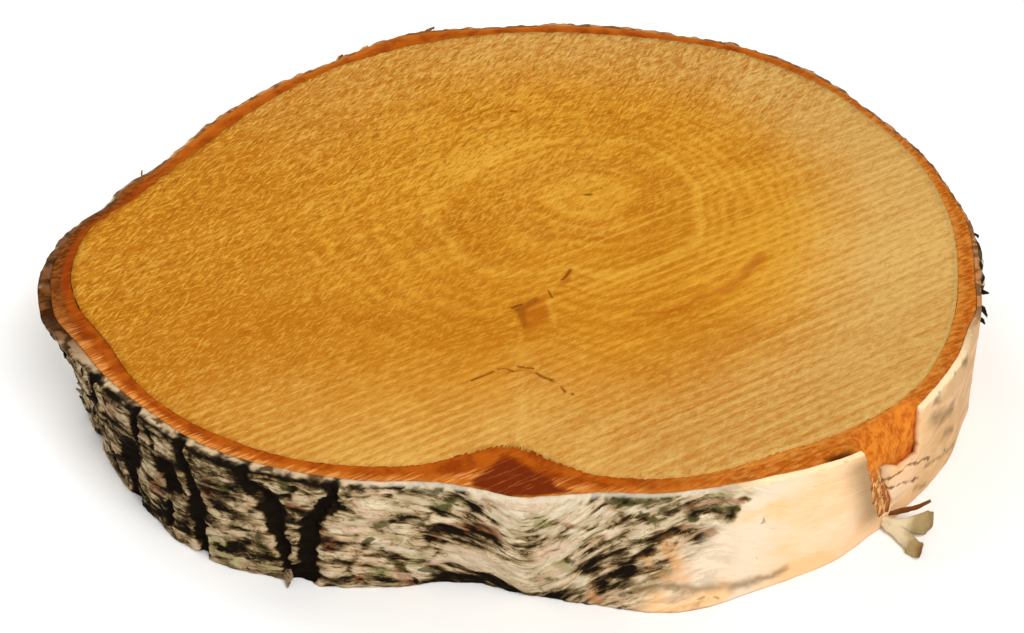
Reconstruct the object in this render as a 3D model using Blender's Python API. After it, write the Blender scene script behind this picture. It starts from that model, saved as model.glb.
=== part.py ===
# Birch wood slice, sawn square across a trunk and lying flat, with its bark on.
# Three layers stand one round the other: the sawn wood, the rust-coloured inner bark,
# and the white and black outer bark, which is torn open and curled at one corner.
# Lengths are in millimetres. Angles are in degrees, anticlockwise from +X about the pith.
import math

import bmesh
import bpy
import numpy as np
from mathutils import Vector, noise

MM = 0.001

# Driving dimensions
THICKNESS = 35.0
PITH = (21.0, 17.0)
GAP = 0.3
BARK_ROWS = 10

# Edge of the wood on the sawn top face
WOOD_EDGE = [
    (123.5, 3), (122, 19), (116.3, 41), (107.6, 58.4), (97, 76), (85, 88.7), (70, 99.7), (50, 107),
    (30, 110.8), (10, 112.5), (-10, 110.8), (-30, 105), (-50, 94.5), (-65, 82), (-77, 68), (-88, 52),
    (-97, 37), (-106, 22), (-113, 11), (-119.3, 2), (-123.2, -10), (-123.8, -22), (-120, -37),
    (-111, -52), (-100, -69), (-88, -83), (-72.5, -94.5), (-55, -102.5), (-38, -105.3), (-22, -104.3),
    (-10, -99.2), (-1, -97), (8, -102), (18, -108), (30, -110), (48, -108), (65, -102), (82, -93.5),
    (95, -82), (105, -71), (112, -58), (117.5, -43), (121.8, -22)]

# Outside of the bark at the top face
BARK_EDGE = [
    (129.5, 2), (127, 18), (122.5, 37), (115, 53), (107, 67.5), (98, 81), (86, 94), (70, 105),
    (50, 111.8), (30, 117), (10, 118), (-10, 116.2), (-25, 114.5), (-38, 110.5), (-50, 101.5),
    (-60, 92.5), (-70, 84), (-82, 71), (-91, 59.5), (-100, 43), (-107.5, 30), (-114.5, 21),
    (-118.5, 10.5), (-126, -0.5), (-130, -14), (-131, -23), (-129.8, -33), (-127, -44), (-119, -56.5),
    (-110, -70), (-98, -83.5), (-78.3, -101), (-53.5, -111), (-40, -113.5), (-20, -113.8), (-10, -116),
    (0, -119), (10, -118.3), (20, -117.2), (37, -117.3), (50, -114.8), (67, -110.8), (78, -106.8),
    (87, -102), (96, -93), (105, -81), (112.5, -70), (118, -60), (122.5, -50), (126.5, -40), (129, -28),
    (130.4, -12)]

# Thickness of the outer bark, by angle
OUTER_BARK = [
    (0, 1.6), (15, 1.4), (35, 1.3), (60, 1.5), (90, 1.7), (150, 1.7), (175, 1.9), (188, 2.8), (196, 3.8),
    (205, 4.0), (220, 3.4), (240, 3.4), (250, 2.8), (262, 2.2), (280, 2.0), (300, 1.8), (315, 2.0),
    (340, 2.2)]

# How much further out the foot of the wall stands than its top, by angle
LEAN = [
    (0, 0), (60, 0), (110, -1.0), (150, -2.0), (175, -5.0), (188, -8.0), (200, -9.0), (206, -7.4),
    (212, -4.8), (218, -2.2), (224, -0.2), (235, 0.0), (245, -1.4), (251, -2.6), (258, -5.0),
    (262, -3.8), (268, 0.8), (274, 3.5), (280, 4.3), (286, 2.0), (291, -0.4), (297, -2.4), (303, -3.4),
    (309, -1.8), (320, -0.5), (340, 0.0)]

# Spacing of the points round each ring, closest in the furrowed bark: end angle, points in the stretch
STRETCHES = [(165.0, 66), (188.0, 18), (262.0, 132), (300.0, 38), (360.0, 26)]
STEPS = sum(count for end, count in STRETCHES)

# The furrowed stretch of bark
FURROWED = (184.0, 250.0)
FURROW_FADE = 8.0
PLATE_HEIGHT = 0.8
SURFACE_WAVE = 0.22

# Deep fissures: depth, width at the top and at the foot, and their course as angle and height
FISSURES = [
    (2.7, 2.2, 5.4, [(233.8, 35), (236.3, 27), (237.2, 17), (237.8, 8), (238.9, 0)]),
    (2.4, 2.4, 3.4, [(242.5, 35), (241.7, 28), (240.3, 17), (239.6, 0)]),
    (2.3, 2.0, 5.0, [(226.4, 35), (227.8, 26), (228.5, 17), (228.9, 0)]),
    (2.2, 1.0, 5.0, [(223.4, 35), (224.3, 25), (224.6, 15), (224.0, 0)]),
    (1.8, 3.0, 1.0, [(219.6, 35), (220.0, 27), (220.6, 0)]),
    (2.3, 1.0, 5.0, [(216.0, 35), (217.2, 20), (217.6, 8), (217.8, 0)]),
    (1.8, 2.0, 2.6, [(212.8, 35), (211.0, 22), (210.2, 0)]),
    (1.8, 2.4, 2.0, [(201.5, 35), (203.0, 20), (204.5, 0)]),
    (1.5, 2.0, 2.0, [(194.0, 35), (195.0, 18), (196.5, 0)])]

# Shards of bark that stand out of the rim at the back: angle, reach and width
SHARDS = [
    (26.5, 1.4, 2.0), (43.2, 2.8, 2.6), (61.6, 2.9, 3.0), (81.0, 1.4, 2.4), (106.9, 3.1, 2.4),
    (130.8, 2.2, 2.4), (352.0, 1.2, 3.0)]
SHARD_DEPTH = 7.0

# The torn corner: a deep notch that bares the inner bark, and a lip of paper lifted off beside it
NOTCH = [
    (298.4, 37), (299.2, 30), (300.8, 25.5), (303.4, 21.5), (306.0, 18), (308.4, 15.2), (310.0, 15.6),
    (310.9, 19.5), (310.3, 25), (309.8, 30), (309.8, 37)]
NOTCH_REACH = (-4.0, 9.0)
LIP_ANGLES = (283.0, 298.0, 300.5)
LIP_LIFT = 2.6
WORN_ANGLES = (298.0, 301.0, 308.0, 311.0)
WORN_TOP = 2.8
WORN_ROWS = (28.0, 32.5)
TUFT = (304.4, 8.0)
TUFT_SIZE = (2.4, 6.0, 1.5)

# Curls and the splinter below the notch: centre and half width across, from the root outwards
CURL_THICKNESS = 1.0
CURLS = {
    "upper curl": [
        ((95.0, -88.8, 4.0), (0.1, 0.2, 1.9)), ((99.3, -91.0, 3.9), (0.1, 0.4, 2.0)),
        ((103.8, -91.7, 4.0), (0.3, 0.8, 3.0)), ((106.6, -91.7, 3.9), (0.2, 0.6, 2.9)),
        ((108.2, -91.4, 3.8), (0.1, 0.3, 1.6))],
    "lower curl": [
        ((94.1, -89.4, 3.2), (0.5, 0.4, 1.2)), ((97.8, -93.2, 2.9), (0.9, 0.4, 1.3)),
        ((101.0, -97.0, 2.0), (1.7, 0.4, 0.9)), ((102.6, -99.8, 1.3), (1.3, 0.3, 0.5))],
    "splinter": [
        ((98.8, -84.9, 2.6), (0.2, 0.2, 0.8)), ((103.0, -86.8, 6.0), (0.1, 0.1, 0.7)),
        ((107.6, -88.2, 9.6), (0.1, 0.1, 0.4))]}


# Smooth closed curve through values given at angles
def around(keys):
    keys = sorted((angle % 360, value) for angle, value in keys)
    before = [(angle - 360, value) for angle, value in keys[-2:]]
    after = [(angle + 360, value) for angle, value in keys[:2]]
    spots, values = np.array(before + keys + after, dtype=float).T
    slopes = np.gradient(values, spots)

    def value_at(angle):
        angle = angle % 360
        i = int(np.searchsorted(spots, angle, side="right")) - 1
        span = spots[i + 1] - spots[i]
        t = (angle - spots[i]) / span
        ends = (2 * t**3 - 3 * t**2 + 1) * values[i] + (3 * t**2 - 2 * t**3) * values[i + 1]
        tangents = (t**3 - 2 * t**2 + t) * slopes[i] + (t**3 - t**2) * slopes[i + 1]
        return float(ends + span * tangents)

    return value_at


def about_pith(points):
    pairs = []
    for x, y in points:
        dx, dy = x - PITH[0], y - PITH[1]
        pairs.append((math.degrees(math.atan2(dy, dx)), math.hypot(dx, dy)))
    return pairs


wood_edge = around(about_pith(WOOD_EDGE))
bark_edge = around(about_pith(BARK_EDGE))
outer_bark_thickness = around(OUTER_BARK)
lean = around(LEAN)


def ease(low, high, value):
    t = min(max((value - low) / (high - low), 0.0), 1.0)
    return t * t * (3 - 2 * t)


def bump(centre, half_width, value):
    return ease(half_width, 0.0, abs(value - centre)) if abs(value - centre) < half_width else 0.0


# The whole wall leans in a straight line from its top edge to its foot
def foot_shift(angle, z):
    return lean(angle) * (1 - z / THICKNESS)


def lip_lift(angle, z):
    along = ease(LIP_ANGLES[0], LIP_ANGLES[1], angle) * ease(LIP_ANGLES[2] + 4, LIP_ANGLES[2], angle)
    return LIP_LIFT * along * z / THICKNESS


def worn_edge(angle, z):
    along = ease(WORN_ANGLES[0], WORN_ANGLES[1], angle) * ease(WORN_ANGLES[3], WORN_ANGLES[2], angle)
    return WORN_TOP * along * ease(WORN_ROWS[0], THICKNESS, z)


def fissure_depth(angle, z, radius):
    depth = 0.0
    for deepest, top_width, foot_width, course in FISSURES:
        heights = [point[1] for point in reversed(course)]
        middle = np.interp(z, heights, [point[0] for point in reversed(course)])
        half = 0.5 * (foot_width + (top_width - foot_width) * z / THICKNESS) + 0.6
        across = math.radians(angle - middle) * radius
        depth = max(depth, deepest * bump(0.0, half, across))
    return depth


# Plates, fissures, shards and a slight wave on the outside of the bark
def bark_relief(angle, z, radius):
    spot = Vector((math.cos(math.radians(angle)), math.sin(math.radians(angle)), z / radius)) * 14
    relief = SURFACE_WAVE * noise.noise(spot)
    furrowed = ease(FURROWED[0], FURROWED[0] + FURROW_FADE, angle)
    furrowed *= ease(FURROWED[1], FURROWED[1] - FURROW_FADE, angle)
    relief += furrowed * PLATE_HEIGHT * noise.noise(Vector((spot.x * 2.2, spot.y * 2.2, spot.z * 3)))
    relief -= fissure_depth(angle, z, radius)
    for centre, reach, width in SHARDS:
        relief += reach * bump(centre, width, angle) * ease(THICKNESS - SHARD_DEPTH, THICKNESS, z)
    tuft = bump(TUFT[0], TUFT_SIZE[0], angle) * bump(TUFT[1], TUFT_SIZE[1], z)
    return relief + TUFT_SIZE[2] * tuft


def wood_radius(angle, z, side):
    return wood_edge(angle) + foot_shift(angle, z)


def inner_bark_radius(angle, z, side):
    if side < 0.5:
        return wood_edge(angle) + foot_shift(angle, z) + GAP
    outside = bark_edge(angle) + foot_shift(angle, z) - outer_bark_thickness(angle) - GAP
    return outside - worn_edge(angle, z)


def outer_bark_radius(angle, z, side):
    outside = bark_edge(angle) + foot_shift(angle, z) + lip_lift(angle, z)
    if side < 0.5:
        return outside - outer_bark_thickness(angle)
    return outside + bark_relief(angle, z, outside)


# Angle of a point, from its number of steps round the ring
def angle_of(step):
    start = 0.0
    for end, count in STRETCHES:
        if step <= count:
            return start + (end - start) * step / count
        step -= count
        start = end
    return start


# Section points stand at radius 1 (inside) or 2 (outside), and are pushed out to the real outline
def push_out(bm, radius_at):
    for vert in bm.verts:
        turn = math.atan2(vert.co.y, vert.co.x) / math.tau % 1.0
        angle = angle_of(round(turn * STEPS))
        side = math.hypot(vert.co.x, vert.co.y) - 1
        radius = radius_at(angle, vert.co.z, side)
        direction = Vector((math.cos(math.radians(angle)), math.sin(math.radians(angle))))
        vert.co.x = PITH[0] + radius * direction.x
        vert.co.y = PITH[1] + radius * direction.y


def ring(section):
    bm = bmesh.new()
    corners = [bm.verts.new((1 + side, 0, z)) for side, z in section]
    edges = [bm.edges.new((a, b)) for a, b in zip(corners, corners[1:] + corners[:1])]
    bmesh.ops.spin(bm, geom=corners + edges, cent=(0, 0, 0), axis=(0, 0, 1), angle=math.tau,
                   steps=STEPS, use_merge=True)
    bmesh.ops.recalc_face_normals(bm, faces=bm.faces)
    return bm


def principled(name, colour, roughness):
    material = bpy.data.materials.new(name)
    material.use_nodes = True
    shader = material.node_tree.nodes["Principled BSDF"]
    shader.inputs["Base Color"].default_value = (*colour, 1)
    shader.inputs["Roughness"].default_value = roughness
    shader.inputs["Metallic"].default_value = 0.0
    material.diffuse_color = (*colour, 1)
    return material


def finish(bm, name, material=None):
    bmesh.ops.scale(bm, vec=(MM, MM, MM), verts=bm.verts)
    mesh = bpy.data.meshes.new(name)
    bm.to_mesh(mesh)
    bm.free()
    piece = bpy.data.objects.new(name, mesh)
    bpy.context.collection.objects.link(piece)
    if material:
        mesh.materials.append(material)
    return piece


def make_wood():
    bm = bmesh.new()
    bmesh.ops.create_cone(bm, cap_ends=True, segments=STEPS, radius1=1, radius2=1, depth=THICKNESS)
    bmesh.ops.translate(bm, vec=(0, 0, THICKNESS / 2), verts=bm.verts)
    push_out(bm, wood_radius)
    return finish(bm, "wood", principled("sawn wood", (0.62, 0.34, 0.09), 0.6))


def make_inner_bark():
    outer_wall = [(1, z) for z in (0.0, *WORN_ROWS, THICKNESS)]
    bm = ring([(0, 0.0), *outer_wall, (0, THICKNESS)])
    push_out(bm, inner_bark_radius)
    return finish(bm, "inner_bark", principled("inner bark", (0.46, 0.13, 0.02), 0.75))


# Solid that fills the notch, run out through the bark at each of its angles
def make_notch_cutter():
    bm = bmesh.new()
    faces = []
    for reach in NOTCH_REACH:
        corners = []
        for angle, z in NOTCH:
            radius = bark_edge(angle) + foot_shift(angle, z) + reach
            direction = Vector((math.cos(math.radians(angle)), math.sin(math.radians(angle)), 0))
            corners.append(bm.verts.new(Vector((*PITH, z)) + radius * direction))
        faces.append(bm.faces.new(corners))
    loops = [list(face.edges) for face in faces]
    bmesh.ops.bridge_loops(bm, edges=loops[0] + loops[1])
    bmesh.ops.triangulate(bm, faces=bm.faces)
    bmesh.ops.recalc_face_normals(bm, faces=bm.faces)
    cutter = finish(bm, "notch cutter")
    cutter.hide_render = True
    cutter.display_type = "WIRE"
    return cutter


# A tongue of bark as wide as each station says, with its thickness across the sheet
def make_curl(name, stations):
    bm = bmesh.new()
    loops = []
    for index, (centre, half) in enumerate(stations):
        centre, half = Vector(centre), Vector(half)
        before = Vector(stations[max(index - 1, 0)][0])
        after = Vector(stations[min(index + 1, len(stations) - 1)][0])
        across = (after - before).cross(half).normalized() * CURL_THICKNESS / 2
        corners = [centre - half - across, centre + half - across, centre + half + across,
                   centre - half + across]
        loops.append([bm.verts.new(corner) for corner in corners])
    for first, second in zip(loops, loops[1:]):
        for i in range(4):
            bm.faces.new((first[i], first[(i + 1) % 4], second[(i + 1) % 4], second[i]))
    bm.faces.new(loops[0])
    bm.faces.new(loops[-1])
    bmesh.ops.recalc_face_normals(bm, faces=bm.faces)
    curl = finish(bm, name)
    curl.hide_render = True
    curl.display_type = "WIRE"
    return curl


def add_boolean(piece, other, operation):
    modifier = piece.modifiers.new(other.name, "BOOLEAN")
    modifier.operation = operation
    modifier.solver = "EXACT"
    modifier.object = other


def make_outer_bark():
    outer_wall = [(1, THICKNESS * row / BARK_ROWS) for row in range(BARK_ROWS + 1)]
    bm = ring([(0, 0.0), *outer_wall, (0, THICKNESS)])
    push_out(bm, outer_bark_radius)
    bark = finish(bm, "outer_bark", principled("outer bark", (0.62, 0.55, 0.44), 0.8))
    add_boolean(bark, make_notch_cutter(), "DIFFERENCE")
    for name, stations in CURLS.items():
        add_boolean(bark, make_curl(name, stations), "UNION")
    return bark


def main():
    for old in list(bpy.data.objects):
        bpy.data.objects.remove(old, do_unlink=True)
    for piece in (make_wood(), make_inner_bark(), make_outer_bark()):
        piece.data.shade_smooth()
        piece.data.set_sharp_from_angle(angle=math.radians(35))


main()
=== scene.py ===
import math

import bmesh
import bpy
import numpy as np
from mathutils import Matrix, Vector


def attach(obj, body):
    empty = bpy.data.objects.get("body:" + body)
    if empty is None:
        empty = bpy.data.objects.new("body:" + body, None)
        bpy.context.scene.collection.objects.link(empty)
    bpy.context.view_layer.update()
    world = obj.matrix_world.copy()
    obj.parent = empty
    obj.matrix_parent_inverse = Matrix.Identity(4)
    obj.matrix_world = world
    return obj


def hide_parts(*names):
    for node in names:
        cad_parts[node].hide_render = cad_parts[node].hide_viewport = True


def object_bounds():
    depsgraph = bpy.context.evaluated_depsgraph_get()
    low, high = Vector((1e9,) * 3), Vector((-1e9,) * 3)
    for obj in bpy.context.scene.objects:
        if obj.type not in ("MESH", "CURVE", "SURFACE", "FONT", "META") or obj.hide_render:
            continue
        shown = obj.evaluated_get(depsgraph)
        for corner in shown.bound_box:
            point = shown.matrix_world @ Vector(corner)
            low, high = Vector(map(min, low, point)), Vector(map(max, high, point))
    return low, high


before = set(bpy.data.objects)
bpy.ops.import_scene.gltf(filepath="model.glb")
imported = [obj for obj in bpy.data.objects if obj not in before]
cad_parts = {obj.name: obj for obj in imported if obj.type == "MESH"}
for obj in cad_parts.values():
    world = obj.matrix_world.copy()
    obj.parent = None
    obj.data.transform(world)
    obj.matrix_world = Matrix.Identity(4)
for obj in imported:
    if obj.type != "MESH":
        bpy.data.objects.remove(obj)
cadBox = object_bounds()
print("frame loaded")

mm = 0.001

# the slice's own outlines in mm, as in the part: angles run anticlockwise about the pith
disc = {
    "thickness": 35.0,
    "pith": (21.0, 17.0),
    "woodEdge": [
        (123.5, 3), (122, 19), (116.3, 41), (107.6, 58.4), (97, 76), (85, 88.7), (70, 99.7), (50, 107),
        (30, 110.8), (10, 112.5), (-10, 110.8), (-30, 105), (-50, 94.5), (-65, 82), (-77, 68), (-88, 52),
        (-97, 37), (-106, 22), (-113, 11), (-119.3, 2), (-123.2, -10), (-123.8, -22), (-120, -37),
        (-111, -52), (-100, -69), (-88, -83), (-72.5, -94.5), (-55, -102.5), (-38, -105.3), (-22, -104.3),
        (-10, -99.2), (-1, -97), (8, -102), (18, -108), (30, -110), (48, -107.8), (64.3, -100.3), (81.1, -92),
        (95, -82), (105, -71), (112, -58), (117.5, -43), (121.8, -22)],
    "barkEdge": [
        (129.2, 2), (126.3, 18), (121.6, 36.7), (114.3, 52.5), (106.5, 67.1), (98, 81), (86, 94), (70, 105),
        (50, 111.8), (30, 117), (10, 118), (-10, 116.2), (-25, 114.5), (-38, 110.5), (-50, 101.5),
        (-60, 92.5), (-70, 84), (-82, 71), (-91, 59.5), (-100, 43), (-107.5, 30), (-114.5, 21),
        (-118.5, 10.5), (-126, -0.5), (-130, -14), (-131, -23), (-129.8, -33), (-127, -44), (-119, -56.5),
        (-110, -70), (-98, -83.5), (-78.3, -101), (-53.5, -111), (-40, -113.5), (-20, -113.8), (-10, -116),
        (0, -119), (10, -118.3), (20, -117.2), (37, -117.3), (50, -114.8), (66.6, -109.6), (77.2, -105.2),
        (86, -100.4), (95.6, -92.4), (105, -81), (112.5, -70), (118, -60), (121.8, -49.6), (125.7, -39.7),
        (127.2, -28), (128.9, -11.5)],
    "outerBark": [
        (0, 0.7), (15, 0.8), (35, 0.9), (60, 1.1), (90, 1.3), (150, 1.3), (175, 1.5), (188, 2.2),
        (196, 3.2), (205, 3.6), (220, 3.2), (240, 3.2), (250, 2.4), (262, 1.8), (280, 1.7), (300, 1.6),
        (315, 1.8), (340, 1.4)],
    "lean": [
        (0, 0), (60, 0), (110, -1.0), (150, -2.0), (175, -5.0), (188, -8.0), (200, -9.0), (206, -7.4),
        (212, -4.8), (218, -2.2), (224, -0.2), (235, 0.0), (245, -1.4), (251, -2.6), (258, -5.0),
        (262, -3.8), (268, 0.8), (274, 3.5), (280, 4.3), (286, 2.0), (291, 0.6), (297, -0.8),
        (303, -2.6), (309, -1.8), (320, -0.5), (340, 0.0)],
    # how far the bark's grain sags or climbs from level, by angle
    "flow": [
        (0, 0), (120, 0), (200, 1), (225, 0), (240, 1.5), (248, 0), (254, -4), (259, -8), (262.5, -10),
        (265, -7), (268, -1), (272, 5), (277, 10), (282, 12), (286, 8), (292, 2), (300, 0), (330, -2)]}

px, py = disc["pith"]
top = disc["thickness"]


# 0 at low, 1 at high and smooth between, for many points at once
def ease(low, high, value):
    t = np.clip((value - low) / (high - low), 0, 1)
    return t * t * (3 - 2 * t)


# 1 from rise to fall, fading to 0 at low and high
def between(low, rise, fall, high, value):
    return ease(low, rise, value) * ease(high, fall, value)


# smooth closed curve through values given at angles
def around(keys):
    keys = sorted((angle % 360, value) for angle, value in keys)
    before = [(angle - 360, value) for angle, value in keys[-2:]]
    after = [(angle + 360, value) for angle, value in keys[:2]]
    spots, values = np.array(before + keys + after, dtype=float).T
    slopes = np.gradient(values, spots)

    def valueAt(angle):
        angle = np.mod(angle, 360)
        i = np.clip(np.searchsorted(spots, angle, side="right") - 1, 0, len(spots) - 2)
        span = spots[i + 1] - spots[i]
        t = (angle - spots[i]) / span
        ends = (2 * t**3 - 3 * t**2 + 1) * values[i] + (3 * t**2 - 2 * t**3) * values[i + 1]
        tangents = (t**3 - 2 * t**2 + t) * slopes[i] + (t**3 - t**2) * slopes[i + 1]
        return ends + span * tangents

    return valueAt


def aboutPith(points):
    return [(math.degrees(math.atan2(y - py, x - px)), math.hypot(x - px, y - py)) for x, y in points]


woodEdge = around(aboutPith(disc["woodEdge"]))
barkEdge = around(aboutPith(disc["barkEdge"]))
outerBark = around(disc["outerBark"])
lean = around(disc["lean"])
flow = around(disc["flow"])


# repeatable lumps, about -1 to 1, of the given size in mm along x, y and z
def lumps(points, size, seed, octaves=1):
    total = np.zeros(len(points))
    strength = 1.0
    for octave in range(octaves):
        spots = points / np.array(size, dtype=float) * 2**octave + 17.3 * seed
        cell = np.floor(spots).astype(np.int64)
        t = spots - cell
        t = t * t * (3 - 2 * t)
        sums = np.zeros(len(points))
        for corner in range(8):
            step = np.array([corner & 1, corner >> 1 & 1, corner >> 2 & 1])
            key = (cell + step).astype(np.uint32) * np.array([374761393, 668265263, 2246822519], np.uint32)
            code = key[:, 0] ^ key[:, 1] ^ key[:, 2] ^ np.uint32(seed * 7919 + octave * 104729)
            code = (code ^ (code >> 15)) * np.uint32(2246822519)
            code = (code ^ (code >> 13)) * np.uint32(3266489917)
            code = code ^ (code >> 16)
            weight = np.prod(np.where(step, t, 1 - t), axis=1)
            sums += weight * (code / 2147483647.5 - 1)
        total += strength * sums
        strength *= 0.5
    return total


# distance in mm from points to a course of straight lines
def distanceTo(points, course):
    nearest = np.full(len(points), 1e9)
    corners = np.array(course, dtype=float)
    if len(corners) == 1:
        corners = np.vstack([corners, corners + 1e-6])
    for start, end in zip(corners, corners[1:]):
        line = end - start
        t = np.clip((points - start) @ line / max(line @ line, 1e-12), 0, 1)
        nearest = np.minimum(nearest, np.linalg.norm(points - start - t[:, None] * line, axis=1))
    return nearest


# the same for a closed patch, less than zero inside it
def distanceInto(points, corners):
    corners = np.array(corners, dtype=float)
    closed = np.vstack([corners, corners[:1]])
    inside = np.zeros(len(points), dtype=bool)
    for (x1, y1), (x2, y2) in zip(closed, closed[1:]):
        if y1 != y2:
            crossing = x1 + (points[:, 1] - y1) * (x2 - x1) / (y2 - y1)
            inside ^= ((y1 > points[:, 1]) != (y2 > points[:, 1])) & (points[:, 0] < crossing)
    distance = distanceTo(points, closed)
    return np.where(inside, -distance, distance)


# the saw's marks in degrees and mm, shared by the wood and both barks
saw = {"turn": 34.0, "pitch": 3.15, "ridge": 0.2, "scratch": 0.1, "fuzz": 0.24, "mean": 34.62,
       "fuzzTurn": 66.0}


def heading(degrees):
    return math.cos(math.radians(degrees)), math.sin(math.radians(degrees))


def turned(points, degrees):
    c, s = heading(degrees)
    x, y = points[:, 0], points[:, 1]
    return np.stack([x * c + y * s, y * c - x * s, np.zeros(len(points))], axis=1)


# 1 where the saw left long clean lines, 0 where it left short fuzzy strokes
def cleanCut(points):
    x, y = points[:, 0], points[:, 1]
    return ease(-55, 45, 0.64 * x - 0.84 * y - 0.1 * px + 14 * lumps(points, (40, 40, 40), 3))


def sawnFace(points):
    lines = turned(points, saw["turn"])
    fibres = turned(points, saw["fuzzTurn"])
    clean = cleanCut(points)
    across = lines[:, 1] + 0.7 * lumps(lines, (90, 14, 9), 5) + 0.12 * lumps(lines, (24, 4, 9), 6)
    ridge = 0.5 + 0.5 * np.cos(math.tau * across / saw["pitch"])
    ridge *= 0.85 + 0.3 * lumps(lines, (60, 5, 9), 8)
    height = saw["ridge"] * (0.6 + 0.25 * clean) * (ridge**1.6 - 0.3)
    height += saw["scratch"] * (1 - 0.5 * clean) * lumps(lines, (46, 1.2, 9), 9, 2)
    fuzz = lumps(fibres, (4.2, 1.0, 9), 11, 2) + 0.5 * lumps(points, (1.4, 1.4, 9), 12)
    height += saw["fuzz"] * (1 - 0.72 * clean) * fuzz * 0.62
    height += 0.1 * lumps(points, (46, 46, 46), 14)
    return np.minimum(saw["mean"] + height, top - 0.02)


def underFace(points):
    lines = turned(points, saw["turn"] - 9)
    height = 0.1 * np.cos(math.tau * (lines[:, 1] + lumps(lines, (60, 14, 9), 21)) / saw["pitch"])
    height += 0.12 * lumps(lines, (24, 1.6, 9), 22, 2)
    return np.maximum(0.3 + height, 0.0)


# the edge between wood and bark is slightly ragged where the saw was fuzzy
def raggedEdge(angle):
    rim = np.stack([np.cos(np.radians(angle)) * 110, np.sin(np.radians(angle)) * 110,
                    np.zeros(len(angle))], axis=1)
    rough = 0.12 + 0.6 * between(60, 100, 175, 200, np.mod(angle, 360))
    inwards = 1.5 * between(184, 194, 208, 218, np.mod(angle, 360))
    return -inwards + rough * (0.45 * lumps(rim, (3.0, 3.0, 9), 31) + 0.2 * lumps(rim, (1.6, 1.6, 9), 32))


def anglesOf(points):
    return np.degrees(np.arctan2(points[:, 1] - py, points[:, 0] - px)) % 360


def radiiOf(points):
    return np.hypot(points[:, 0] - px, points[:, 1] - py)


def pointsOf(mesh):
    flat = np.empty(len(mesh.vertices) * 3)
    mesh.vertices.foreach_get("co", flat)
    return flat.reshape(-1, 3)


def movePoints(mesh, points):
    mesh.vertices.foreach_set("co", points.ravel())
    mesh.update()


def addAttribute(mesh, name, values):
    layer = mesh.attributes.new(name, "FLOAT", "POINT")
    layer.data.foreach_set("value", np.asarray(values, dtype=np.float32))


def addZones(mesh, zones, angles):
    for name, span in zones.items():
        addAttribute(mesh, name, between(*span, angles))


def meshFrom(bm, name):
    mesh = bpy.data.meshes.new(name)
    bm.to_mesh(mesh)
    bm.free()
    return mesh


def addPiece(mesh, name, material, replaced=()):
    low, high = (np.array(corner) / mm for corner in cadBox)
    movePoints(mesh, np.clip(pointsOf(mesh), low, high) * mm)
    piece = bpy.data.objects.new(name, mesh)
    bpy.context.collection.objects.link(piece)
    mesh.materials.clear()
    mesh.materials.append(material)
    mesh.shade_smooth()
    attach(piece, "root")
    if replaced:
        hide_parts(*replaced)
    triangles = sum(len(face.vertices) - 2 for face in mesh.polygons)
    print(name, "triangles", triangles)


# a number or colour in a material: sums on it add their nodes
class Value:
    def __init__(self, finish, socket):
        self.finish = finish
        self.socket = socket

    def __add__(self, other):
        return self.finish.maths("ADD", self, other)

    def __radd__(self, other):
        return self.finish.maths("ADD", other, self)

    def __sub__(self, other):
        return self.finish.maths("SUBTRACT", self, other)

    def __rsub__(self, other):
        return self.finish.maths("SUBTRACT", other, self)

    def __mul__(self, other):
        return self.finish.maths("MULTIPLY", self, other)

    def __rmul__(self, other):
        return self.finish.maths("MULTIPLY", other, self)

    def __truediv__(self, other):
        return self.finish.maths("DIVIDE", self, other)


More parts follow.
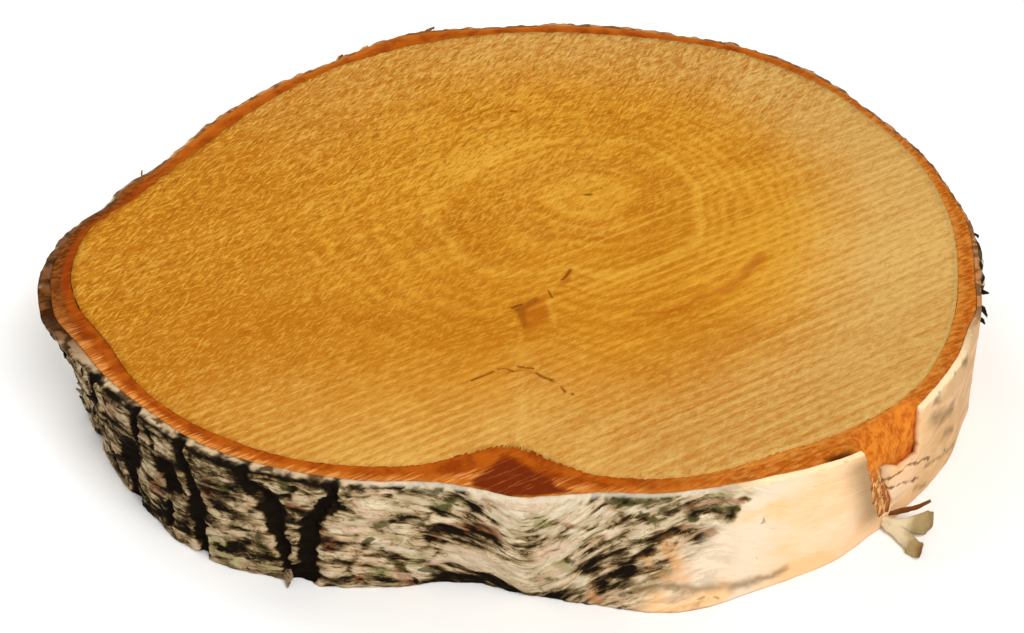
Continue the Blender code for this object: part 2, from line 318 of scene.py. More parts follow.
class Finish:
    def __init__(self, name):
        self.material = bpy.data.materials.new(name)
        self.material.use_nodes = True
        self.tree = self.material.node_tree
        self.shader = self.tree.nodes["Principled BSDF"]
        self.shader.inputs["Specular IOR Level"].default_value = 0.02
        self.colour = None
        place = self.node("ShaderNodeTexCoord", {}, {})
        self.place = self.vector("SCALE", Value(self, place.outputs["Object"]), scale=1 / mm)

    def node(self, kind, settings, sockets):
        new = self.tree.nodes.new(kind)
        for name, setting in settings.items():
            setattr(new, name, setting)
        for key, given in sockets.items():
            if isinstance(given, Value):
                self.tree.links.new(given.socket, new.inputs[key])
            elif given is not None:
                new.inputs[key].default_value = given
        return new

    def maths(self, operation, first, second=None):
        made = self.node("ShaderNodeMath", {"operation": operation}, {0: first, 1: second})
        return Value(self, made.outputs[0])

    def vector(self, operation, first, second=None, scale=None):
        made = self.node("ShaderNodeVectorMath", {"operation": operation},
                         {0: first, 1: second, "Scale": scale})
        return Value(self, made.outputs["Vector"])

    def larger(self, first, second):
        return self.maths("MAXIMUM", first, second)

    def smaller(self, first, second):
        return self.maths("MINIMUM", first, second)

    def attribute(self, name):
        return Value(self, self.node("ShaderNodeAttribute", {"attribute_name": name}, {}).outputs["Fac"])

    # a smooth step from 0 at low to 1 at high
    def step(self, low, high, value):
        made = self.node("ShaderNodeMapRange", {"interpolation_type": "SMOOTHSTEP"},
                         {"Value": value, "From Min": low, "From Max": high})
        return Value(self, made.outputs["Result"])

    def turned(self, degrees):
        made = self.node("ShaderNodeMapping", {}, {"Vector": self.place,
                                                   "Rotation": (0, 0, math.radians(-degrees))})
        return Value(self, made.outputs["Vector"])

    # noise from 0 to 1 whose lumps have the given sizes in mm
    def noise(self, size, place=None, detail=2.0, roughness=0.5, distortion=0.0, offset=0.0):
        spread = self.vector("DIVIDE", place or self.place, size)
        moved = self.vector("ADD", spread, (offset, offset * 1.7, offset * 0.6))
        made = self.node("ShaderNodeTexNoise", {}, {"Vector": moved, "Scale": 1.0, "Detail": detail,
                                                    "Roughness": roughness, "Distortion": distortion})
        return Value(self, made.outputs["Fac"])

    def bands(self, value, stops):
        made = self.node("ShaderNodeValToRGB", {}, {"Fac": value})
        elements = made.color_ramp.elements
        while len(elements) < len(stops):
            elements.new(0.5)
        for element, (place, tint) in zip(elements, stops):
            element.position = place
            element.color = tint
        return Value(self, made.outputs["Color"])

    def ramp(self, value, stops):
        return self.bands(value, [(place, shade(*tint)) for place, tint in stops])

    # a number read off a profile of (distance, level) stops
    def profile(self, distance, stops):
        reach = stops[-1][0]
        levels = [(place / reach, (level, level, level, 1.0)) for place, level in stops]
        return self.bands(distance / reach, levels)

    # mixes colours, each a Value or a tint from 0 to 255
    def mix(self, amount, first, second, blend="MIX"):
        first, second = (shade(*tint) if isinstance(tint, tuple) else tint for tint in (first, second))
        made = self.node("ShaderNodeMix", {"data_type": "RGBA", "blend_type": blend},
                         {0: amount, 6: first, 7: second})
        return Value(self, made.outputs[2])

    # lays one more layer over the colours so far
    def paint(self, amount, layer, blend="MIX"):
        self.colour = self.mix(amount, self.colour, layer, blend)

    def finish(self, roughness, bumps):
        self.tree.links.new(self.colour.socket, self.shader.inputs["Base Color"])
        self.shader.inputs["Roughness"].default_value = roughness
        normal = None
        for height, depth in bumps:
            made = self.node("ShaderNodeBump", {}, {"Strength": 1.0, "Distance": depth * mm,
                                                    "Height": height, "Normal": normal})
            normal = Value(self, made.outputs["Normal"])
        self.tree.links.new(normal.socket, self.shader.inputs["Normal"])
        return self.material


# a colour as the eye reads it, 0 to 255, turned into the renderer's own numbers
def shade(red, green, blue):
    channels = [((c / 255 + 0.055) / 1.055) ** 2.4 if c > 10 else c / 255 / 12.92 for c in (red, green, blue)]
    return (*channels, 1.0)


# cells and marks in mm, colours as the eye reads them, 0 to 255
wood = {
    "cell": (0.64, 1.15),
    "underCell": (1.5, 2.6),
    "ochre": (211, 142, 30),
    "deep": (182, 108, 12),
    "pale": (203, 158, 86),
    "straw": (226, 170, 58),
    "chaff": (224, 183, 106),
    "cambium": (224, 184, 108),
    "shadow": (138, 76, 6),
    "knot": (172, 86, 6),
    "burnt": (118, 62, 8),
    "dark": (104, 54, 10),
    # how pale the wood is at its rim, by angle
    "rim": [(0, 0.9), (40, 0.8), (80, 0.6), (120, 0.45), (150, 0.35), (180, 0.05), (205, 0.1), (235, 0.35),
            (260, 0.45), (285, 0.8), (320, 1.1)],
    # growth rings from pith to bark: distance in mm and tone, 0.5 being plain wood
    "rings": [
        (0, 0.5), (2.5, 0.38), (5, 0.6), (8.5, 0.85), (11, 0.55), (13, 0.4), (15.5, 0.24), (18, 0.4),
        (20, 0.16), (23.5, 0.3), (25.8, 0.6), (27.6, 0.28), (30, 0.4), (33, 0.62), (36, 0.92), (38.2, 0.6),
        (40, 0.42), (42, 0.7), (44.5, 0.32), (47.5, 0.62), (50, 0.34), (52, 0.56), (55, 0.28), (58, 0.6),
        (61, 0.36), (64, 0.58), (68, 0.38), (72, 0.5), (77, 0.36), (84, 0.42), (90, 0.62), (112, 0.5)]}

# marks on the sawn face: half width in mm (0 for a filled patch) and a course of points
faceMarks = {
    "dark": [
        (0.5, [(20.1, 17.3), (21.2, 17.7)]), (0.45, [(12.8, -25.2), (14.9, -20.4)]),
        (0.22, [(9.2, -30.4), (10.4, -34)]), (0.4, [(-1.4, 64.1), (-0.2, 64)]), (0.25, [(25, 21)]),
        (0.22, [(10, 5)]), (0.3, [(-11.3, -70.3), (-8.3, -68.4), (-5.6, -66.4)]),
        (0.22, [(-4.4, -65.4), (-2.6, -65.2), (-0.4, -66.6)]), (0.24, [(0.8, -64.9), (4.2, -65.6)]),
        (0.3, [(5.4, -67.4), (7.8, -69.4), (9.2, -70.3)]), (0.22, [(12, -73), (12.5, -75.3)]),
        (0.3, [(-0.7, -38.2), (1.4, -36.8)]), (0.2, [(14.1, -75.8), (14.3, -76.4)])],
    "knot": [
        (0, [(-0.9, -38.1), (5.8, -33.5), (8.5, -34.6), (9.4, -38), (8.7, -44.5), (3.7, -49.4), (2, -48.9),
             (0.8, -44.5)]),
        (0, [(11.6, -26), (14, -21.6), (15.8, -25), (14.4, -28), (11.4, -28)]),
        (0.8, [(11.6, -32), (15.5, -31)]), (0.5, [(-7, -67.8), (3, -66.4), (11, -72)])],
    "burnt": [
        (0, [(-0.9, -38.1), (5.8, -33.5), (6.4, -35.6), (3.2, -38.6), (2.6, -43), (3.8, -48.6), (2, -48.9),
             (0.8, -44.5)])],
    "stripe": [
        (0.7, [(32.3, -42.1), (36.4, -40.8), (41.1, -40.6), (45.3, -38.1), (49.6, -34.6)]),
        (0.9, [(49.6, -34.6), (55.7, -31)]), (1.5, [(55.7, -31), (62, -24), (68, -14)])],
    "light": [
        (2.2, [(21, 16), (25, 18)]), (0.5, [(10.3, -28.9), (10.2, -30.6)]),
        (0.55, [(9.6, -36), (10.1, -45.5)]), (0.5, [(1.6, -50.4), (0.8, -56.2)]),
        (2.0, [(0.8, -57), (1.9, -61.4)]), (1.0, [(2, -77), (1, -93)]),
        (0.25, [(27.4, -71.2), (27.4, -80.3), (27.5, -91.8)]), (0.2, [(66, 4), (64, -30)])]}


def sawnSheet(cell):
    bm = bmesh.new()
    reach = 150
    bmesh.ops.create_grid(bm, x_segments=round(2 * reach / cell[1]), y_segments=round(2 * reach / cell[0]),
                          size=reach)
    turn = Matrix.Rotation(math.radians(saw["turn"]), 4, "Z")
    bmesh.ops.transform(bm, matrix=turn, verts=bm.verts)
    return bm


def trimSheet(bm, shift, slack):
    points = np.array([vert.co for vert in bm.verts])
    angles = anglesOf(points)
    edge = woodEdge(angles) + shift(angles) + raggedEdge(angles)
    outside = radiiOf(points) > edge - slack
    gone = [vert for vert, out in zip(bm.verts, outside) if out]
    bmesh.ops.delete(bm, geom=gone, context="VERTS")
    loose = [vert for vert in bm.verts if len(vert.link_faces) < 2]
    bmesh.ops.delete(bm, geom=loose, context="VERTS")
    rim = [vert for vert in bm.verts if vert.is_boundary]
    points = np.array([vert.co for vert in rim])
    angles = anglesOf(points)
    edge = woodEdge(angles) + shift(angles) + raggedEdge(angles)
    for vert, angle, radius in zip(rim, np.radians(angles), edge):
        vert.co.x = px + radius * math.cos(angle)
        vert.co.y = py + radius * math.sin(angle)


# how far each kind of mark covers each point: 1 inside, fading over soft mm at its edge
def marksOn(points, marks, soft, toPlane=None):
    flat = toPlane(points) if toPlane else points[:, :2]
    found = {}
    for kind, strokes in marks.items():
        mask = np.zeros(len(flat))
        for width, course in strokes:
            if toPlane:
                course = wallCourse(course)
            distance = distanceTo(flat, course) - width if width > 0 else distanceInto(flat, course)
            fade = max(soft, 1.3 * width) if width > 0 else 3 * soft
            mask = np.maximum(mask, ease(fade, -fade, distance))
        found[kind] = mask
    return found


# the outlines of the marks wander a little
def wandering(points):
    bent = points.copy()
    bent[:, 0] += 0.6 * lumps(points, (6, 6, 9), 61, 2)
    bent[:, 1] += 0.6 * lumps(points, (6, 6, 9), 62, 2)
    return bent


def makeWood():
    bm = sawnSheet(wood["cell"])
    trimSheet(bm, lambda angles: 0.0, 0.35 * wood["cell"][1])
    # finer cells round the crack, the knot and the pith, so that they are cut into the face
    for reach in (2.2, 1.3):
        points = np.array([vert.co for vert in bm.verts])
        courses = [course for width, course in faceMarks["dark"]]
        near = np.min([distanceTo(points[:, :2], course) for course in courses], axis=0) < reach
        bm.verts.index_update()
        edges = [edge for edge in bm.edges if near[edge.verts[0].index] and near[edge.verts[1].index]]
        bmesh.ops.subdivide_edges(bm, edges=edges, cuts=1, use_grid_fill=True)
    bmesh.ops.translate(bm, vec=(0, 0, top), verts=bm.verts)
    under = sawnSheet(wood["underCell"])
    trimSheet(under, lean, 0.35 * wood["underCell"][1])
    bmesh.ops.reverse_faces(under, faces=under.faces)
    lower = meshFrom(under, "underside")
    bm.from_mesh(lower)
    bpy.data.meshes.remove(lower)
    rims = [edge for edge in bm.edges if edge.is_boundary]
    bmesh.ops.bridge_loops(bm, edges=rims)
    mesh = meshFrom(bm, "wood")
    points = pointsOf(mesh)
    upper = points[:, 2] > top / 2
    points[upper, 2] = sawnFace(points[upper])
    points[~upper, 2] = underFace(points[~upper])
    marks = marksOn(wandering(points), faceMarks, 0.35)
    points[upper, 2] -= 0.4 * marks["dark"][upper] + 0.15 * marks["burnt"][upper]
    movePoints(mesh, points)
    angles = anglesOf(points)
    share = radiiOf(points) / woodEdge(angles)
    outwards = ease(0, 0.35, share)
    growth = radiiOf(points) * (1 - outwards) + wood["rings"][-1][0] * share * outwards
    addAttribute(mesh, "growth", growth)
    addAttribute(mesh, "share", share)
    addAttribute(mesh, "clean", cleanCut(points))
    addAttribute(mesh, "seam", 0.7 * (1 - between(20, 50, 270, 290, angles)))
    # painted shade: the left of the face is darkened, more towards its rim
    addAttribute(mesh, "leftShadeAndBrown", between(125, 165, 215, 250, angles) * ease(0.25, 0.8, share))
    addAttribute(mesh, "paleness", ease(0.45, 1.0, share) * around(wood["rim"])(angles) + 0.08)
    addAttribute(mesh, "relief", np.where(upper, points[:, 2] - saw["mean"], 0.3 - points[:, 2]) / 0.2)
    for kind, mask in marks.items():
        addAttribute(mesh, kind, mask * upper)
    addPiece(mesh, "sawnWood", woodFinish(), ["wood"])


def woodFinish():
    f = Finish("sawnWood")
    lines = f.turned(saw["turn"])
    fibres = f.turned(saw["fuzzTurn"])
    clean = f.attribute("clean")
    share = f.attribute("share")
    relief = f.attribute("relief")
    wander = f.noise((26, 26, 30), detail=3)
    bent = f.attribute("growth") + 9 * (wander - 0.5)
    tone = f.profile(bent, wood["rings"])
    circles = f.maths("SINE", bent * (math.tau / 4.7) + 1.8 * f.maths("SINE", bent * (math.tau / 21)))
    mottle = f.noise((34, 26, 30), detail=4, roughness=0.6, offset=3.1)
    blotch = f.noise((10, 4, 30), place=lines, detail=3, roughness=0.6, offset=7.7)
    f.colour = f.mix(f.step(0.28, 0.58, mottle), wood["deep"], wood["ochre"])
    rim = f.attribute("paleness") + 0.5 * (mottle - 0.5)
    f.paint(f.step(0.0, 1.0, rim), wood["pale"])
    bright = f.mix(f.step(0.0, 0.8, rim), wood["straw"], wood["chaff"])
    # painted shade darkens the left of the face
    f.paint(0.6 * f.attribute("leftShadeAndBrown"), wood["deep"])
    f.paint(0.3 * f.step(0.5, 0.7, blotch), wood["deep"])
    showing = f.step(1.15, 0.3, share) * f.step(0.2, 0.55, blotch)
    f.paint(f.step(0.5, 0.15, tone) * showing * 0.8, wood["deep"])
    f.paint(f.step(0.5, 0.9, tone) * showing * 0.55, bright)
    circled = f.step(0.85, 0.45, share) * f.step(0.3, 0.55, wander)
    circled = circled * (1 - 0.5 * f.attribute("leftShadeAndBrown"))
    f.paint(f.step(0.1, 1.0, circles) * circled * 0.25, bright)
    f.paint(f.step(-0.1, -1.0, circles) * circled * 0.45, wood["deep"])
    # crests of the saw's ridges are pale and woolly, the troughs dark: partly the wood's own fuzz, partly a
    # painted highlight on the crests and painted shade in the troughs
    f.paint(0.6 * f.step(0.1, 0.7, relief), bright)
    f.paint(0.55 * f.step(-0.05, -0.5, relief), wood["deep"])
    long = f.noise((60, 0.38, 20), place=lines, detail=2, roughness=0.6, offset=1.3)
    scratch = f.noise((14, 0.42, 20), place=lines, detail=3, roughness=0.7, offset=4.3)
    both = long * clean + scratch * (1 - clean)
    f.paint(f.step(0.52, 0.7, both) * (0.5 - 0.28 * clean), bright)
    f.paint(f.step(0.48, 0.32, both) * (0.5 - 0.28 * clean), wood["deep"])
    grain = f.noise((2.6, 0.8, 20), place=lines, detail=3, roughness=0.65, offset=3.3)
    f.paint(f.step(0.52, 0.64, grain) * (0.55 - 0.2 * clean), bright)
    f.paint(f.step(0.48, 0.36, grain) * (0.5 - 0.15 * clean), wood["deep"])
    # short bright fibre strokes where the cut is fuzzy: pale fibres with a painted highlight, and painted
    # shadow beside them
    strokes = f.noise((3.2, 0.7, 20), place=fibres, detail=3, roughness=0.65, offset=5.9)
    f.paint(f.step(0.55, 0.64, strokes) * (0.75 - 0.6 * clean), bright)
    f.paint(f.step(0.45, 0.34, strokes) * (0.6 - 0.5 * clean), wood["shadow"])
    f.paint(0.35 * f.attribute("light"), bright)
    grainy = 0.7 * (both - 0.5) + 0.5 * (strokes - 0.5) + 0.5 * (blotch - 0.5)
    grainy = grainy + 0.4 * (grain - 0.5)
    for kind, low, high, amount in (("stripe", 0.1, 0.9, 0.6), ("knot", 0.3, 1.3, 0.8),
                                    ("burnt", 0.3, 1.3, 0.6), ("dark", 0.05, 0.7, 0.68)):
        tint = wood["knot"] if kind == "stripe" else wood[kind]
        mask = f.attribute(kind)
        cover = f.step(low, high, mask + 1.6 * grainy) * f.step(0.05, 0.35, mask)
        f.paint(amount * cover, tint)
    cambium = f.step(0.989, 0.994, share + 0.01 * (grain - 0.5))
    f.paint(0.7 * cambium * f.attribute("seam"), wood["cambium"])
    fine = f.noise((3.5, 0.45, 6), place=lines, detail=4, roughness=0.7, offset=2.2)
    pores = f.noise((0.5, 0.5, 0.5), detail=2)
    return f.finish(0.62, [(strokes, 0.4), (fine, 0.4), (pores, 0.15)])


# a ring's steps are shared out by angle, finer in front than behind
stretches = {"ends": [0, 150, 185, 345, 360], "shares": [0, 0.2, 0.26, 0.955, 1.0]}


def ring(section, steps):
    bm = bmesh.new()
    loop = np.array(section + section[:1], dtype=float)
    bmesh.ops.create_grid(bm, x_segments=steps, y_segments=len(section), size=0.5)
    seam = []
    for vert in bm.verts:
        turn = vert.co.x + 0.5
        row = round((vert.co.y + 0.5) * len(section))
        if turn < 1e-5 or turn > 1 - 1e-5 or row in (0, len(section)):
            seam.append(vert)
        side, z = loop[row]
        vert.co = ((1 + side) * math.cos(math.tau * turn), (1 + side) * math.sin(math.tau * turn), z)
    bmesh.ops.remove_doubles(bm, verts=seam, dist=1e-5)
    bmesh.ops.recalc_face_normals(bm, faces=bm.faces)
    return bm


def unroll(mesh):
    points = pointsOf(mesh)
    turn = np.arctan2(points[:, 1], points[:, 0]) / math.tau % 1.0
    angles = np.interp(turn, stretches["shares"], stretches["ends"]) % 360
    return points, angles, np.hypot(points[:, 0], points[:, 1]) - 1


def placed(angles, radii, z):
    return np.stack([px + radii * np.cos(np.radians(angles)), py + radii * np.sin(np.radians(angles)), z],
                    axis=1)


def footShift(angles, z):
    curve = 1 + between(170, 190, 206, 214, angles)
    return lean(angles) * (1 - np.power(np.clip(z / top, 0, 1), curve))


inner = {
    "steps": 1150,
    "across": 13,
    # angles at which each zone begins, is full, begins to end and has ended
    "zones": {"fringe": (196, 206, 262, 285), "darkSide": (166, 184, 196, 212),
              "worn": (297.5, 300.5, 308.5, 312)},
    "gap": -0.25,
    "rust": (174, 84, 12),
    "deep": (140, 56, 4),
    "light": (200, 116, 36),
    "ochre": (200, 124, 44),
    "bare": (216, 128, 42),
    "bareDeep": (180, 88, 20),
    "cream": (226, 152, 80),
    "ingrown": (112, 40, 8),
    "ingrownLight": (158, 84, 36),
    "torn": (222, 172, 110),
    "tornDeep": (132, 74, 32),
    "backRust": (132, 46, 4),
    "fleck": (206, 144, 66),
    "umber": (76, 38, 10),
    "umberLight": (136, 76, 28),
    "slitShade": (58, 12, 2),
    "shadedBareFoot": (158, 52, 4)}

ingrownBark = [
    (-11.5, -111.6), (-4, -102.6), (-1.1, -102), (8.3, -110), (9.9, -113), (14.5, -115), (7.6, -116),
    (-2.5, -117.2), (-9.7, -113.6)]


# the torn channel runs down beside the lip of paper
def tornChannel(angles, z):
    middle = 300.6 + 0.19 * (30 - z)
    return ease(2.4, 1.2, np.abs(angles - middle)) * ease(29, 24, z)


def wornEdge(angles, z):
    return 2.6 * between(299, 301.5, 307.5, 310, angles) * ease(29, 35, z)


def innerRadius(angles, z):
    return barkEdge(angles) + footShift(angles, z) - outerBark(angles) - 0.15 - wornEdge(angles, z)


def makeInnerBark():
    n = inner["across"]
    section = [(i / n, 0) for i in range(0, n + 1, 2)]
    section += [(1, z) for z in (0, 5, 9, 12, 14, 16, 18, 20, 22, 24, 26, 28, 30, 31.5, 33, 34.2)]
    section += [(1 - i / n, top) for i in range(n + 1)]
    section += [(0, 20)]
    mesh = meshFrom(ring(section, inner["steps"]), "innerBark")
    points, angles, side = unroll(mesh)
    z = points[:, 2]
    start = woodEdge(angles) + footShift(angles, z) + raggedEdge(angles) + inner["gap"]
    end = innerRadius(angles, z)
    points = placed(angles, start + side * (end - start), z)
    bare = between(297.5, 299, 311, 312.5, angles) * ease(0.9, 1.0, side)
    rough = lumps(points, (1.6, 1.6, 3.2), 41, 2) * 0.3 + lumps(points, (0.7, 0.7, 1.2), 42) * 0.12
    fibrous = tornChannel(angles, z) * ease(0.9, 1.0, side)
    rough += fibrous * (1.0 + 0.5 * lumps(points, (1.1, 1.1, 3.0), 45, 2))
    points = placed(angles, radiiOf(points) + bare * rough * ease(0, 3, z), z)
    upper = z > top - 0.01
    face = sawnFace(points)
    fuzz = 0.16 * lumps(turned(points, saw["turn"]), (3, 0.7, 9), 43, 2)
    face = np.minimum(face - 0.08 + fuzz, top - 0.02)
    face -= 0.14 * ease(0.12, 0.0, side)
    face -= 1.6 * between(294.4, 296, 299, 299.6, angles) * ease(0.78, 0.9, side)
    face -= 0.35 * ease(0.6, -0.6, distanceInto(points[:, :2], ingrownBark))
    worn = between(298, 301, 307.5, 310.5, angles) * side**1.5
    face -= (3.2 + 0.6 * lumps(points, (2.5, 2.5, 9), 44, 2)) * worn
    low = underFace(points)
    points[:, 2] = low + (z / top) * (face - low)
    movePoints(mesh, points)
    addAttribute(mesh, "across", side)
    addAttribute(mesh, "wall", (~upper).astype(float) * ease(0.95, 1.0, side))
    addAttribute(mesh, "low", points[:, 2])
    addAttribute(mesh, "ingrown", ease(0.5, -0.5, distanceInto(points[:, :2], ingrownBark)))
    addZones(mesh, inner["zones"], angles)
    addAttribute(mesh, "fibrous", tornChannel(angles, z))
    addAttribute(mesh, "gapShade", between(294.4, 296, 299.2, 299.6, angles) * ease(0.8, 0.86, side))
    addAttribute(mesh, "ochreSide", 1 - between(20, 60, 270, 290, angles))
    addPiece(mesh, "innerBark", innerFinish(), ["inner_bark"])


def innerFinish():
    f = Finish("innerBark")
    lines = f.turned(saw["turn"])
    across = f.attribute("across")
    ochreSide = f.attribute("ochreSide")
    darkSide = f.attribute("darkSide")
    cloud = f.noise((6, 6, 6), detail=4, roughness=0.6)
    streaks = f.noise((8, 0.6, 9), place=lines, detail=3, roughness=0.6, offset=4.4)
    f.colour = f.mix(f.step(0.32, 0.6, cloud), inner["deep"], inner["rust"])
    edge = f.step(0.22, 0.0, across + 0.3 * (cloud - 0.5)) * (1 - ochreSide)
    f.paint(edge * 0.6, inner["deep"])
    soft = ochreSide * f.step(0.8, 0.2, across + 0.8 * (cloud - 0.5))
    f.paint(soft * 0.8, inner["ochre"])
    f.paint(darkSide * 0.6, inner["backRust"])
    f.paint(f.step(0.5, 0.72, streaks) * 0.4, inner["light"])
    outwards = f.step(0.45, 0.95, across + 0.5 * (cloud - 0.5))
    f.paint(outwards * 0.5, inner["light"])
    crossing = f.noise((3.0, 0.9, 9), place=lines, detail=3, roughness=0.65, offset=7.4)
    mottle = ochreSide * f.step(0.5, 0.62, crossing)
    f.paint(mottle * 0.55, inner["fleck"])
    f.paint(ochreSide * f.step(0.48, 0.38, crossing) * 0.5, inner["deep"])
    fringe = f.attribute("fringe") * f.step(0.55, 0.95, across + 1.2 * (streaks - 0.5))
    f.paint(fringe * f.step(0.46, 0.6, streaks) * 0.8, inner["cream"])
    mottled = f.noise((2.2, 1.0, 4), place=lines, detail=4, roughness=0.65, offset=3.6)
    leftShadeAndBrown = darkSide * f.step(0.35, 0.6, across + 0.5 * (cloud - 0.5))
    brown = f.mix(f.step(0.42, 0.6, mottled), inner["umber"], inner["umberLight"])
    f.paint(leftShadeAndBrown * 0.85, brown)
    # painted shade: the slit between the rust ring and the paper is painted near black
    f.paint(0.92 * f.attribute("gapShade"), inner["slitShade"])
    grit = f.noise((1.6, 1.6, 3.0), detail=4, roughness=0.6, offset=8.8)
    bare = f.mix(f.step(0.32, 0.6, grit), inner["bareDeep"], inner["bare"])
    # painted shade darkens the foot of the bare patch
    bare = f.mix(0.6 * f.step(24, 18, f.attribute("low") + 5 * (grit - 0.5)), bare, inner["shadedBareFoot"])
    fibre = f.noise((0.9, 0.9, 3.5), detail=4, roughness=0.65, offset=6.6)
    torn = f.mix(f.step(0.42, 0.58, fibre), inner["tornDeep"], inner["torn"])
    bare = f.mix(f.attribute("fibrous") * f.step(0.35, 0.5, fibre + 0.3 * (grit - 0.5)), bare, torn)
    cover = f.larger(f.attribute("wall"), f.attribute("worn") * f.step(0.1, 0.6, across))
    f.paint(cover, bare)
    ingrown = f.mix(f.step(0.56, 0.72, streaks), inner["ingrown"], inner["ingrownLight"])
    f.paint(f.attribute("ingrown"), ingrown)
    fine = f.noise((2.2, 0.5, 2), place=lines, detail=4, roughness=0.7, offset=1.9)
    return f.finish(0.75, [(fine, 0.35), (grit, 0.3)])


mmPerDegree = 2.25


def wallCourse(course):
    return [(angle * mmPerDegree, z) for angle, z in course]


outer = {
    "steps": 1330,
    "rows": 54,
    "zones": {"furrowed": (176, 196, 238, 250), "middle": (240, 248, 280, 286), "nose": (172, 182, 204, 214),
              "paleTop": (281, 288, 318, 334)},
    # tones of the weathered bark, from its black cracks up to clean white paper
    "tones": [
        (0.0, (22, 16, 10)), (0.18, (44, 33, 20)), (0.32, (93, 75, 48)), (0.45, (137, 117, 83)),
        (0.58, (178, 158, 124)), (0.74, (208, 190, 160)), (1.0, (232, 220, 198))],
    "paper": (240, 205, 168),
    "paperWarm": (236, 189, 136),
    "chalk": (222, 206, 182),
    "moss": (60, 62, 24),
    "lichen": (140, 136, 84),
    "brown": (126, 62, 34),
    "tanStroke": (214, 150, 84),
    "smudgeAndShade": (136, 110, 76),
    "tan": (196, 156, 108),
    "pore": (150, 110, 70),
    "stain": (176, 128, 96),
    "tornEdge": (116, 62, 24),
    "knob": (34, 26, 18),
    "knobLight": (84, 70, 48),
    "backRim": (104, 60, 26),
    "backRimLight": (178, 118, 64),
    "middleRim": (216, 202, 178),
    "paperRim": (246, 216, 170),
    "furrowRim": (88, 66, 44),
    "furrowRimLight": (198, 174, 138),
    "noseRim": (58, 30, 8),
    "noseRimLight": (108, 60, 22)}

